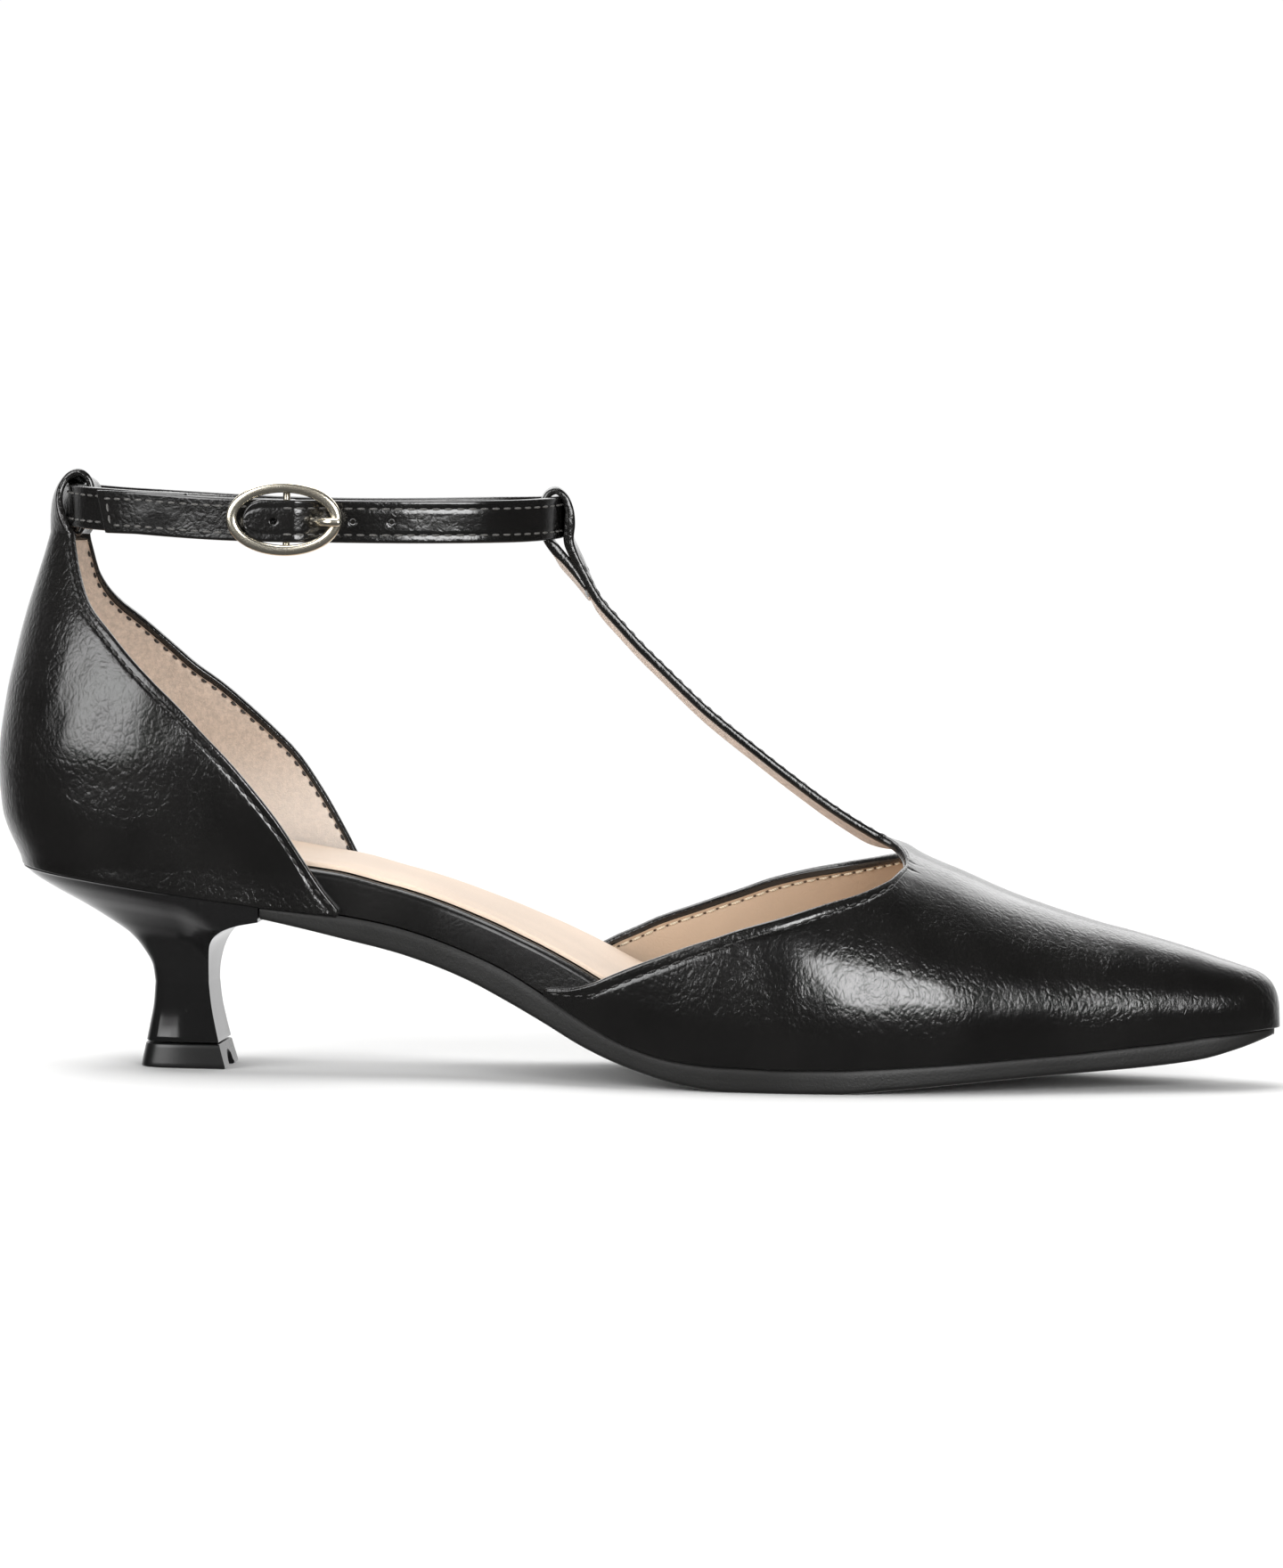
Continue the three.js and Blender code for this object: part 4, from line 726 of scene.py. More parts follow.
def topPiece():
    high = shoe["topPiece"]
    rings = [shankRing(0, 0.5), shankRing(0.08, 0.22), shankRing(0.25, 0.06), shankRing(0.5, 0)]
    rings += [shankRing(z, 0) for z in np.linspace(0.5, high - 0.3, 8)[1:]]
    rings += [shankRing(high - 0.1, 0.08), shankRing(high, 0.3)]
    piece = loft("topPieceTip", [withBreast(ring) for ring in rings], [finishes["tip"]], 40)
    half, top = heel["notchWidth"] / 2, heel["notchHeight"]
    profile = [(-half, -1), (half, -1)]
    profile += [(half * math.cos(a), top - half + half * math.sin(a)) for a in np.linspace(0, math.pi, 22)]
    front = shoe["footBack"] + shoe["footLength"]
    cutter = loft("notchCutter", [[(x, y, z) for y, z in profile] for x in (front - heel["notchDepth"], front + 3)],
                  [finishes["tip"]], None)
    cut = piece.modifiers.new("notch", "BOOLEAN")
    cut.object, cut.operation, cut.solver = cutter, "DIFFERENCE", "EXACT"
    bpy.context.view_layer.objects.active = piece
    bpy.ops.object.modifier_apply(modifier="notch")
    bpy.data.objects.remove(cutter)
    return piece


keep(topPiece(), "sole_rubber", "top_piece")
print("heel and top piece done")

# Relief that the leather takes from wear and lasting, in mm
def softNoise(verts, scale, seed=0):
    shift = Vector((seed, seed * 0.7, seed * 1.3))
    return np.array([noise.noise(Vector(v) * scale + shift) for v in verts])


def creased(verts, creases):
    total = np.zeros(len(verts))
    for x0, z0, x1, z1, depth, width, side in creases:
        run = np.array([x1 - x0, z1 - z0], float)
        spot = verts[:, [0, 2]] - [x0, z0]
        t = np.clip(spot @ run / (run @ run), 0, 1)
        off = np.linalg.norm(spot - t[:, None] * run, axis=1)
        total -= depth * np.exp(-(off / width) ** 2) * (np.sign(verts[:, 1]) == side)
    return total


# Quarter
quarterCreases = [
    (16, 58, 44, 61, 0.10, 3.2, -1), (12, 66, 20, 84, 0.12, 2.6, -1), (24, 70, 33, 88, 0.10, 2.4, -1),
    (14, 60, 40, 62, 0.20, 2.6, 1), (20, 72, 30, 86, 0.14, 2.4, 1),
]
quarter = {"height": 67.2, "outerLength": 73, "innerLength": 76.5, "cornerTurn": 0.22, "loopHeight": 13.4,
           "loopDepth": 9.1, "loopWidth": 12, "loopWall": 1.4, "crownFall": 1.9, "turns": 96, "levels": 44, "rim": 0.45,
           "stitchAway": 1.85, "stitchPitch": 2.6, "stitchLength": 1.9, "stitchRadius": 0.31}
cupRows = [      # up, back, spread
    (0.00, 0.076, 1.000), (0.16, 0.012, 1.040), (0.30, 0.000, 1.050), (0.50, 0.022, 1.000),
    (0.70, 0.064, 0.860), (0.92, 0.126, 0.600), (1.00, 0.149, 0.520),
]
quarterEdgeRows = [      # at, outer, inner
    (0.204, 1.025, 1.027), (0.230, 0.929, 0.902), (0.270, 0.836, 0.836), (0.340, 0.758, 0.775),
    (0.410, 0.687, 0.714), (0.480, 0.624, 0.654), (0.550, 0.563, 0.607), (0.620, 0.495, 0.552),
    (0.690, 0.428, 0.492), (0.760, 0.350, 0.423), (0.830, 0.263, 0.321), (0.900, 0.153, 0.197),
    (0.960, 0.063, 0.081), (1.000, 0.015, 0.016),
]
backLoopRows = [      # ahead, up, wall, bow
    (0.005, 0.280, 1.1, 0.7), (0.060, 0.545, 1.05, 0.5), (0.203, 0.776, 1, 0.35), (0.423, 0.948, 1, 0.3),
    (0.665, 1.000, 1, 0.3), (0.885, 0.925, 1, 0.3), (1.000, 0.746, 1, 0.35), (1.005, 0.507, 1, 0.4),
    (0.930, 0.269, 0.95, 0.45), (0.800, 0.120, 0.9, 0.5), (0.660, -0.010, 0.8, 0.6),
]
cupBack, cupSpread = column(cupRows, 1), column(cupRows, 2)
quarterEdge = {-1: column(quarterEdgeRows, 1), 1: column(quarterEdgeRows, 2)}
quarterTop = shoe["seatHeight"] + quarter["height"]


def cupShift(z):
    up = np.clip((z - shoe["seatHeight"]) / quarter["height"], 0, 1)
    return quarter["height"] * (cupBack(up) - cupBack(0))


def cupReach(base):
    return np.clip(1 - (base - shoe["seatBack"]) / (2 * shoe["heelEndRound"]), 0, None) ** 2


def cupPoint(base, side, z):
    up = np.clip((z - shoe["seatHeight"]) / quarter["height"], 0, 1)
    return points(base + cupShift(z) * cupReach(base), outline(base, side, upperStep) * cupSpread(up), z)


def cupBase(x, z):
    base = x
    for _ in range(20):
        base = x - cupShift(z) * cupReach(base)
    return max(base, shoe["seatBack"])


def quarterColumn(turn, v):
    side = -1 if turn < 0 else 1
    length = quarter["outerLength"] if side < 0 else quarter["innerLength"]
    t = min(abs(turn), 1)
    roundOff = lambda share: 1 - math.cos(share * math.pi / 2)
    corner = quarterEdgeRows[0][0] * length
    foot = mix(shoe["seatBack"], length, roundOff(t))
    bend = quarter["cornerTurn"]
    if t <= bend:
        z = quarterTop
        top = mix(shoe["seatBack"], cupBase(corner, z), (t / bend) ** 2)
    else:
        x = mix(corner, length, (roundOff(t) - roundOff(bend)) / (1 - roundOff(bend)))
        z = min(float(seam(x) + quarter["height"] * quarterEdge[side](x / length)), quarterTop)
        top = cupBase(x, z)
    return cupPoint(mix(foot, top, v), side, mix(float(upperFoot(foot)), z, v))


nearEdge = np.array([0, 0.35, 0.8, 1.25, 1.6, 1.85, 2.1, 2.35, 2.7, 3.3, 4.2])      # columns beside a free edge


def spread(total, count):
    near = nearEdge * min(1, total / (2.2 * nearEdge[-1]))
    return np.concatenate([near, np.linspace(near[-1], total, count + 1)[1:]])


def byDistance(curve, low, high, count, bothEnds=False):      # points of a curve, placed by distance from its high end
    t = np.linspace(high, low, 240)
    line = curve(t)
    run = np.concatenate([[0], np.cumsum(np.linalg.norm(np.diff(line, axis=0), axis=1))])
    if bothEnds:
        half = spread(run[-1] / 2, count)
        away = np.concatenate([half, run[-1] - half[-2::-1]])
    else:
        away = spread(run[-1], count)
    return curve(np.interp(away, run, t)), away


def ribbon(knots, count, across):
    xs = [Vector((k[0], 0, k[1])) for k in knots]
    chord = np.concatenate([[0], np.cumsum([math.sqrt((b - a).length) for a, b in zip(xs, xs[1:])])])
    padded = [xs[0] * 2 - xs[1], *xs, xs[-1] * 2 - xs[-2]]
    line = []
    share = []
    for k in range(len(xs) - 1):
        for s in np.arange(count) / count:
            a, b, c, d = padded[k:k + 4]
            line.append(catmull(a, b, c, d, s))
            share.append((k + s) / (len(xs) - 1))
    line.append(xs[-1])
    share.append(1.0)
    rows = [across(np.array(spot), t) for spot, t in zip(line[1:], share[1:])]
    return np.array(rows), np.array(share[1:])


def catmull(a, b, c, d, s):      # centripetal curve between b and c
    t0 = 0
    t1 = t0 + max(math.sqrt((b - a).length), 1e-6)
    t2 = t1 + max(math.sqrt((c - b).length), 1e-6)
    t3 = t2 + max(math.sqrt((d - c).length), 1e-6)
    t = t1 + (t2 - t1) * s
    a1 = a * ((t1 - t) / (t1 - t0)) + b * ((t - t0) / (t1 - t0))
    a2 = b * ((t2 - t) / (t2 - t1)) + c * ((t - t1) / (t2 - t1))
    a3 = c * ((t3 - t) / (t3 - t2)) + d * ((t - t2) / (t3 - t2))
    b1 = a1 * ((t2 - t) / (t2 - t0)) + a2 * ((t - t0) / (t2 - t0))
    b2 = a2 * ((t3 - t) / (t3 - t1)) + a3 * ((t - t1) / (t3 - t1))
    return b1 * ((t2 - t) / (t2 - t1)) + b2 * ((t - t1) / (t2 - t1))


def grooveAt(away, at, depth=0.2, width=0.42):      # trough that a row of stitches pulls into the leather
    return -depth * np.exp(-((away - at) / width) ** 2)


def quarterShell():
    bend = quarter["cornerTurn"]
    turns = np.concatenate([np.linspace(-1, -bend, quarter["turns"]), np.linspace(-bend, bend, 33)[1:-1],
                            np.linspace(bend, 1, quarter["turns"])])
    grid, away = [], []
    for turn in turns:
        line, off = byDistance(lambda v: quarterColumn(turn, v), 0, 1, quarter["levels"])
        grid.append(line)
        away.append(off)
    grid, away = np.array(grid), np.array(away)
    first, last = quarter["turns"] - 1, quarter["turns"] - 1 + 32
    inBand = away < 1.3
    wall = np.where(inBand, shoe["upperWall"], shoe["upperWall"] - 0.3) + grooveAt(away, quarter["stitchAway"])
    free = np.ones(len(turns))
    free[first + 1:last] = 0
    groove = grooveAt(away, quarter["stitchAway"]) * free[:, None]
    sheet = Sheet()
    sheet.add(grid, wall, inBand)
    rim = grid[first:last + 1, 0]
    start = rim[len(rim) // 2]
    wide, bowAtRim = rim[-1][1], rim[0][0] - start[0]
    knots = [(start[0], start[2], shoe["upperWall"], 1.0)]
    knots += [(start[0] + a * quarter["loopDepth"], start[2] + u * quarter["loopHeight"], w * quarter["loopWall"], b)
              for a, u, w, b in backLoopRows]
    along = np.linspace(0, 1, len(knots))
    bow = smooth(list(zip(along, [k[3] for k in knots])))
    loopWall = smooth(list(zip(along, [k[2] for k in knots])))

    def across(spot, t):
        y = rim[:, 1] * mix(1, quarter["loopWidth"] / (2 * wide), float(fade(t, 0, 0.35)))
        crown = float(fade(t, 0.12, 0.4) * (1 - fade(t, 0.62, 0.85)))
        fall = quarter["crownFall"] * crown * fade(y / quarter["loopWidth"], -0.3, 0.5)
        return points(spot[0] + bowAtRim * float(bow(t)) * (y / wide) ** 2, y, spot[2] - fall)

    loop, share = ribbon(knots, 7, across)
    loopGrid = np.concatenate([rim[None], loop])
    walls = np.concatenate([[shoe["upperWall"]], loopWall(share)])[:, None]
    onLining = np.concatenate([[0], share])[:, None] > 0.72
    sheet.add(loopGrid, walls, np.broadcast_to(~onLining, loopGrid.shape[:2]), flip=False)
    sheet.weld()
    grooves = {tuple(np.round(p, 3)): g for p, g in zip(grid.reshape(-1, 3), groove.reshape(-1))}

    def relief(verts, normals):
        cut = np.array([grooves.get(tuple(np.round(v, 3)), 0.0) for v in verts])
        return cut + 0.16 * softNoise(verts, 0.055, 3) + 0.05 * softNoise(verts, 0.2, 5) + creased(verts, quarterCreases)

    piece = sheet.build("quarterShell", [finishes["quarter"], finishes["quarterLining"]], quarter["rim"], 5, relief)
    keep(piece, "upper_leather", "quarter")
    at = int(np.argmin(np.abs(nearEdge - quarter["stitchAway"])))
    outer, dots = [], []
    for part in (slice(0, first + 1), slice(last, len(turns))):
        line = grid[part, at]
        flat = np.cross(np.gradient(grid[part], axis=0)[:, at], (grid[part, at + 1] - grid[part, at - 1]))
        flat /= np.linalg.norm(flat, axis=1, keepdims=True)
        if (flat * (line - line.mean(0) * [1, 0, 1]))[:, 1].sum() < 0:
            flat = -flat
        stitchRow(outer, line, flat, quarter["stitchPitch"], quarter["stitchLength"], quarter["stitchRadius"], -0.05, 1.5)
        stitchRow(dots, line - flat * (shoe["upperWall"] - 0.3), -flat, quarter["stitchPitch"], 1.3,
                  quarter["stitchRadius"], 0.02, 1.5)
    stitches("quarterStitches", outer, finishes["blackThread"], "upper_leather", "quarter")
    stitches("quarterInnerStitches", dots, finishes["greyThread"], "upper_leather", "quarter")


quarterShell()
print("quarter done")

# Vamp with its wings and T-strap
ankle = {"back": 14.4, "front": 114.8, "ahead": 0.4, "half": 26.5, "power": 2.2, "width": 8, "thick": 1.6, "rim": 0.35,
         "stitchInset": 1.35, "stitchPitch": 2.55, "stitchLength": 1.7, "stitchRadius": 0.25}
vampSize = {"throat": 188.4, "throatDepth": 43.3, "throatRadius": 7, "wingOuter": 72.1, "wingInner": 76.9,
            "strapWidth": 8.5, "strapReach": 66.5, "strapTilt": 0.3, "loopHeight": 14, "loopDepth": 7.3,
            "loopWall": 1.4, "loopSwing": 0.12, "tuck": 0.2, "rim": 0.45, "stitchAway": 2.1, "stitchPitch": 2.75,
            "stitchLength": 2.0, "stitchRadius": 0.23}
vampRows = [      # at, ridge, full, aside
    (0.000, 1.000, 0.231, 0.040), (0.051, 0.940, 0.223, 0.042), (0.167, 0.842, 0.205, 0.048),
    (0.282, 0.741, 0.194, 0.053), (0.391, 0.657, 0.184, 0.055), (0.500, 0.584, 0.166, 0.055),
    (0.615, 0.513, 0.151, 0.053), (0.731, 0.434, 0.132, 0.050), (0.841, 0.346, 0.114, 0.047),
    (0.897, 0.307, 0.106, 0.045), (1.000, 0.238, 0.092, 0.043),
]
tStrapRows = [      # at, rise
    (0.066, 0.036), (0.200, 0.128), (0.332, 0.236), (0.466, 0.354), (0.600, 0.477), (0.666, 0.547),
    (0.734, 0.623), (0.800, 0.696), (0.868, 0.780), (0.934, 0.866), (0.974, 0.943), (1.000, 1.000),
]
wingRows = [      # at, outer, inner
    (0.00, 0.025, 0.026), (0.05, 0.077, 0.081), (0.12, 0.169, 0.196), (0.20, 0.297, 0.344),
    (0.30, 0.429, 0.504), (0.40, 0.528, 0.617), (0.50, 0.601, 0.703), (0.60, 0.661, 0.774),
    (0.70, 0.714, 0.828), (0.80, 0.766, 0.864), (0.90, 0.813, 0.903), (1.00, 0.882, 0.939),
]
frontLoopRows = [      # ahead, up, wall
    (0.466, -0.335, 1.5), (0.493, -0.071, 1.6), (0.438, 0.157, 1.3), (0.260, 0.350, 1.05), (-0.027, 0.450, 1),
    (-0.301, 0.400, 1), (-0.466, 0.257, 1), (-0.507, 0.036, 1), (-0.493, -0.143, 1), (-0.420, -0.310, 1),
    (-0.175, -0.500, 1.6), (0.150, -0.660, 1.4), (0.470, -0.845, 1.0), (0.760, -1.030, 0.6),
]
vampRidge, vampFull, vampAside = [column(vampRows, k) for k in (1, 2, 3)]
wingEdge = {-1: column(wingRows, 1), 1: column(wingRows, 2)}
loopMiddle = ankle["front"] + shoe["gap"]
loopJoin = (loopMiddle + vampSize["loopDepth"] * 0.64, shoe["strapHeight"] - vampSize["loopHeight"] * 0.54)
throatPlace = loopJoin[0] + vampSize["strapReach"]
throatZ = float(seam(throatPlace)) + vampSize["throatDepth"]
ridgeKnots = [(throatPlace - at * vampSize["strapReach"], mix(throatZ, loopJoin[1], rise))
              for at, rise in reversed(tStrapRows)]
for row in vampRows:
    ridgeX = mix(throatPlace, shoe["length"], row[0])
    ridgeKnots.append((ridgeX, float(seam(ridgeX)) + vampSize["throatDepth"] * row[1]))
ridgeLine = smooth(ridgeKnots)
vampToe = outlineToe(upperStep)


def ridge(x):
    return upperFoot(x) + (ridgeLine(x) - upperFoot(x)) * toeDrop(toeShare(x, upperStep))


def throatShare(x):
    return (x - throatPlace) / (shoe["length"] - throatPlace)


def ridgeAside(x):
    before = shoe["ballWidth"] * vampAside(0) * np.clip(1 - (throatPlace - x) / vampSize["strapReach"], 0, None)
    return np.where(x >= throatPlace, shoe["ballWidth"] * vampAside(throatShare(x)), before)


def fullest(x):
    up = vampSize["throatDepth"] * vampFull(np.clip(throatShare(x), 0, None))
    return upperFoot(x) + up * toeDrop(toeShare(x, upperStep))


def vampPoint(x, around):
    around = np.asarray(around, float)
    side = np.where(around < 0, -1, 1)
    rise = 1 - np.abs(around)
    full, foot = fullest(x), upperFoot(x)
    edge = outline(x, side, upperStep)
    blunt = toeRounding(toeShare(x, upperStep))
    out = shoe["bulge"] * blunt
    t = rise / vampSize["tuck"]
    angle = np.clip((rise - vampSize["tuck"]) / (1 - vampSize["tuck"]), 0, 1) * math.pi / 2
    aside = mix(outline(vampToe, 1, upperStep), ridgeAside(x), blunt)
    y = np.where(t < 1, edge + side * out * (1 - (1 - t) ** 2), aside + (edge + side * out - aside) * np.cos(angle))
    z = np.where(t < 1, mix(foot, full, np.clip(t, 0, 1)), full + (ridge(x) - full) * np.sin(angle))
    return points(x, y, z)


def aroundAtHeight(x, side, z):
    full = fullest(x)
    low = side * (1 - vampSize["tuck"] * (z - upperFoot(x)) / (full - upperFoot(x)))
    angle = np.arcsin(np.clip((z - full) / (ridge(x) - full), 0, 1))
    return float(np.where(z < full, low, side * (1 - mix(vampSize["tuck"], 1, angle / (math.pi / 2)))))


def aroundAtDistance(x, side, distance):
    widest = outline(x, side, upperStep) + side * shoe["bulge"]
    angle = np.arccos(np.clip(distance / np.abs(widest - ridgeAside(x)), 0, 1))
    return float(side * (1 - mix(vampSize["tuck"], 1, angle / (math.pi / 2))))


def wingTop(x, side):
    length = vampSize["wingOuter"] if side < 0 else vampSize["wingInner"]
    share = 1 - (vampSize["throat"] - x) / length
    return aroundAtHeight(x, side, float(seam(x)) + vampSize["throatDepth"] * float(wingEdge[side](share)))


cornerAround = {side: mix(wingTop(vampSize["throat"], side),
                          aroundAtDistance(vampSize["throat"], side, vampSize["strapWidth"] / 2), 0.3)
                for side in (-1, 1)}


def rounding(x, radius):
    t = max((x - vampSize["throat"] + radius) / radius, 0)
    return math.sqrt(max(1 - t * t, 0))


def wingEdgeAround(x, side):
    if x >= vampSize["throat"]:
        return cornerAround[side]
    return mix(cornerAround[side], wingTop(x, side), rounding(x, vampSize["throatRadius"] * 0.4))


def tStrapEdgeAround(x, side):
    if x >= vampSize["throat"]:
        return cornerAround[side]
    return mix(cornerAround[side], aroundAtDistance(x, side, vampSize["strapWidth"] / 2),
               rounding(x, vampSize["throatRadius"]))


def tStrapPoint(x, around):
    spots = vampPoint(x, around)
    lean = (vampSize["strapTilt"] * float(1 - fade(x, throatPlace - vampSize["strapReach"] * 0.12, vampSize["throat"]))
            * float(fade(x, loopJoin[0] - 1, loopJoin[0] + vampSize["strapReach"] * 0.07)))
    spots[..., 2] -= lean * (spots[..., 1] - float(ridgeAside(x)) + vampSize["strapWidth"] / 2)
    return spots


vampCreases = [      # soft folds: start x z, end x z, depth, width, side
    (196, 30, 208, 20, 0.14, 3.2, -1), (176, 26, 190, 16, 0.12, 3.0, -1), (222, 21, 232, 15, 0.10, 2.4, -1),
    (201, 33, 214, 24, 0.18, 3.0, 1), (168, 22, 180, 13, 0.14, 2.6, 1),
]


def vampRelief(verts, normals):
    return 0.15 * softNoise(verts, 0.05, 8) + 0.05 * softNoise(verts, 0.17, 9) + creased(verts, vampCreases)


def vampShell():
    outerEnd = vampSize["throat"] - vampSize["wingOuter"]
    innerEnd = vampSize["throat"] - vampSize["wingInner"]
    throat, toe = vampSize["throat"], vampToe
    roundStart = throat - vampSize["throatRadius"]
    turn = np.linspace(0, math.pi / 2, 24)
    wings = np.concatenate([
        np.arange(innerEnd, roundStart, 0.95), roundStart + (throat - roundStart) * np.sin(turn),
        [outerEnd, innerEnd, loopJoin[0]], np.linspace(throat, toe - shoe["toeRound"], 66),
        toe - shoe["toeRound"] * (1 - np.sin(np.linspace(0, math.pi / 2, 26)))])
    stations = np.unique(np.round(wings, 4))
    keptX = [stations[0]]
    special = np.round([outerEnd, innerEnd, loopJoin[0], throat, toe], 4)
    for x in stations[1:]:
        if x in special:
            if x - keptX[-1] < 0.05 and keptX[-1] not in special:
                keptX.pop()
            keptX.append(x)
        elif x - keptX[-1] > 0.05 or x > toe - 1:
            if x - keptX[-1] > 0.004:
                keptX.append(x)
    stations = np.array(keptX)
    sheet = Sheet()
    lines = {}

    def strip(start, skin, edges, count, bothEnds, key):
        grid, away = [], []
        for x in stations[stations >= start - 1e-3]:
            surface = vampPoint if x >= throat - 1e-3 else skin
            low, high = edges(x)
            line, off = byDistance(lambda a: surface(x, a), low, high, count, bothEnds)
            grid.append(line)
            away.append(off)
        grid, away = np.array(grid), np.array(away)
        lines[key] = (grid, away)
        open_ = stations[stations >= start - 1e-3] < throat + 1.2
        fromEdge = np.minimum(away, away[:, -1:] - away) if bothEnds else away
        inBand = (fromEdge < 1.3) & open_[:, None]
        wall = np.where(inBand, shoe["upperWall"], shoe["upperWall"] - 0.3)
        wall = wall + grooveAt(fromEdge, vampSize["stitchAway"], 0.12) * open_[:, None]
        lateX = stations[stations >= start - 1e-3]
        wall = wall * np.clip((toe - lateX) / 6, 0.15, 1)[:, None]
        return grid, wall, inBand, fromEdge, open_

    grooves = {}
    for side, start in ((-1, round(outerEnd, 4)), (1, round(innerEnd, 4))):
        grid, wall, inBand, away, open_ = strip(start, vampPoint, lambda x: (side, wingEdgeAround(x, side)), 44, False, side)
        sheet.add(grid, wall, inBand, flip=(side < 0))
        cut = grooveAt(away, vampSize["stitchAway"]) * open_[:, None]
        grooves.update({tuple(np.round(p, 3)): g for p, g in zip(grid.reshape(-1, 3), cut.reshape(-1))})
    grid, wall, inBand, away, open_ = strip(round(loopJoin[0], 4), tStrapPoint,
                                            lambda x: (tStrapEdgeAround(x, -1), tStrapEdgeAround(x, 1)), 4, True, 0)
    # the T-strap's underside takes slot 2, the paler lining: painted light
    onStrap = (stations[-len(grid):] < throat - 4)[:, None]
    sheet.add(grid, wall, np.where(onStrap, 2, inBand), flip=True)
    strapGrid = grid
    cut = grooveAt(away, 1.6) * open_[:, None] * 0.8
    grooves.update({tuple(np.round(p, 3)): g for p, g in zip(grid.reshape(-1, 3), cut.reshape(-1))})
    edge = grid[0]
    middle = edge[len(edge) // 2]
    knots = [(middle[0], middle[2], shoe["upperWall"])]
    knots += [(loopMiddle + a * vampSize["loopDepth"], shoe["strapHeight"] + u * vampSize["loopHeight"],
               w * vampSize["loopWall"]) for a, u, w in frontLoopRows]
    along = np.linspace(0, 1, len(knots))
    loopWall = smooth(list(zip(along, [k[2] for k in knots])))
    ease = lambda t: float(1 - fade(t, 0, 0.06))

    def across(spot, t):
        lean = edge[:, [0, 2]] - middle[[0, 2]]
        far = edge[:, 1] - edge[:, 1].min()
        swing = vampSize["loopSwing"] * far * float(fade(t, 0, 0.12) * (1 - fade(t, 0.6, 0.75)))
        drop = vampSize["strapTilt"] * far * float(fade(t, 0.7, 0.85))
        return points(spot[0] + lean[:, 0] * ease(t) - swing, edge[:, 1], spot[2] + lean[:, 1] * ease(t) - drop)

    loop, share = ribbon(knots, 6, across)
    loopGrid = np.concatenate([edge[None], loop])
    walls = np.concatenate([[shoe["upperWall"]], loopWall(share)])[:, None]
    faced = np.concatenate([[0], share]) > 0.72      # lining side of the strap's end, turned to the foot; it takes the paler lining, painted light
    sheet.add(loopGrid, walls, np.ones(loopGrid.shape[:2], bool), flip=False, faced=faced[:, None])
    sheet.weld()

    def relief(verts, normals):
        cut = np.array([grooves.get(tuple(np.round(v, 3)), 0.0) for v in verts])
        calm = fade(verts[:, 0], vampSize["throat"] - 8, vampSize["throat"] + 6)
        onWing = fade(100 - verts[:, 2], 50, 58)
        return cut + vampRelief(verts, normals) * np.maximum(calm, onWing * 0.7)

    def farStrapEdge(spots):      # edge of the T-strap on the inner side, where the lining shows; its rim takes the paler lining, painted light
        return (spots[:, 0] < throat - 4) & (spots[:, 2] > throatZ - 1) & (spots[:, 1] > edge[:, 1].mean() + 1)

    looks = [finishes["vamp"], finishes["vampLining"], finishes["strapLiningPaintedLight"]]
    piece = sheet.build("vampShell", looks, vampSize["rim"], 5, relief, farStrapEdge)
    keep(piece, "upper_leather", "vamp")
    outer, under, holeShadeDots = [], [], []
    at = int(np.argmin(np.abs(nearEdge - vampSize["stitchAway"])))
    for side in (-1, 1):
        grid, away = lines[side]
        xs = stations[-len(grid):]
        part = xs <= throat - 1.5
        patch = grid[part]
        flat = np.cross(np.gradient(patch, axis=0)[:, at], patch[:, at + 1] - patch[:, at - 1])
        flat /= np.linalg.norm(flat, axis=1, keepdims=True)
        if flat[:, 1].sum() * side < 0:
            flat = -flat
        line = patch[:, at]
        stitchRow(outer, line, flat, vampSize["stitchPitch"], vampSize["stitchLength"], vampSize["stitchRadius"], -0.05, 1.0)
        inside = line - flat * (shoe["upperWall"] - 0.3)
        stitchRow(under, inside, -flat, vampSize["stitchPitch"], 2.0, vampSize["stitchRadius"] * 1.3, 0.05, 1.0)
        # short dark dots between the lining stitches: painted shade in the needle holes
        stitchRow(holeShadeDots, inside, -flat, vampSize["stitchPitch"], 0.6, vampSize["stitchRadius"] * 1.1, -0.02, 1.0, 1.0)
    nearest = int(np.argmin(np.abs(nearEdge - 1.6)))
    xs = stations[-len(strapGrid):]
    patch = strapGrid[xs <= throat - 2]
    flat = np.cross(np.gradient(patch, axis=0)[:, len(edge) // 2], patch[:, -1] - patch[:, 0])
    flat /= np.linalg.norm(flat, axis=1, keepdims=True)
    flat *= np.sign(flat[:, 2:3].sum())
    for k in (nearest, len(edge) - 1 - nearest):
        stitchRow(outer, patch[:, k], flat, vampSize["stitchPitch"], 1.9, vampSize["stitchRadius"] * 0.8, -0.06, 1.0)
        stitchRow(under, patch[:, k] - flat * (shoe["upperWall"] - 0.3), -flat, vampSize["stitchPitch"], 1.9,
                  vampSize["stitchRadius"] * 0.8, 0.0, 1.0)
    stitches("vampStitches", outer, finishes["blackThread"], "upper_leather", "vamp")
    stitches("vampInnerStitches", under, finishes["beigeThread"], "upper_leather", "vamp")
    stitches("vampNeedleHoleShade", holeShadeDots, finishes["paintedHoleShade"], "upper_leather", "vamp")


vampShell()
print("vamp done")

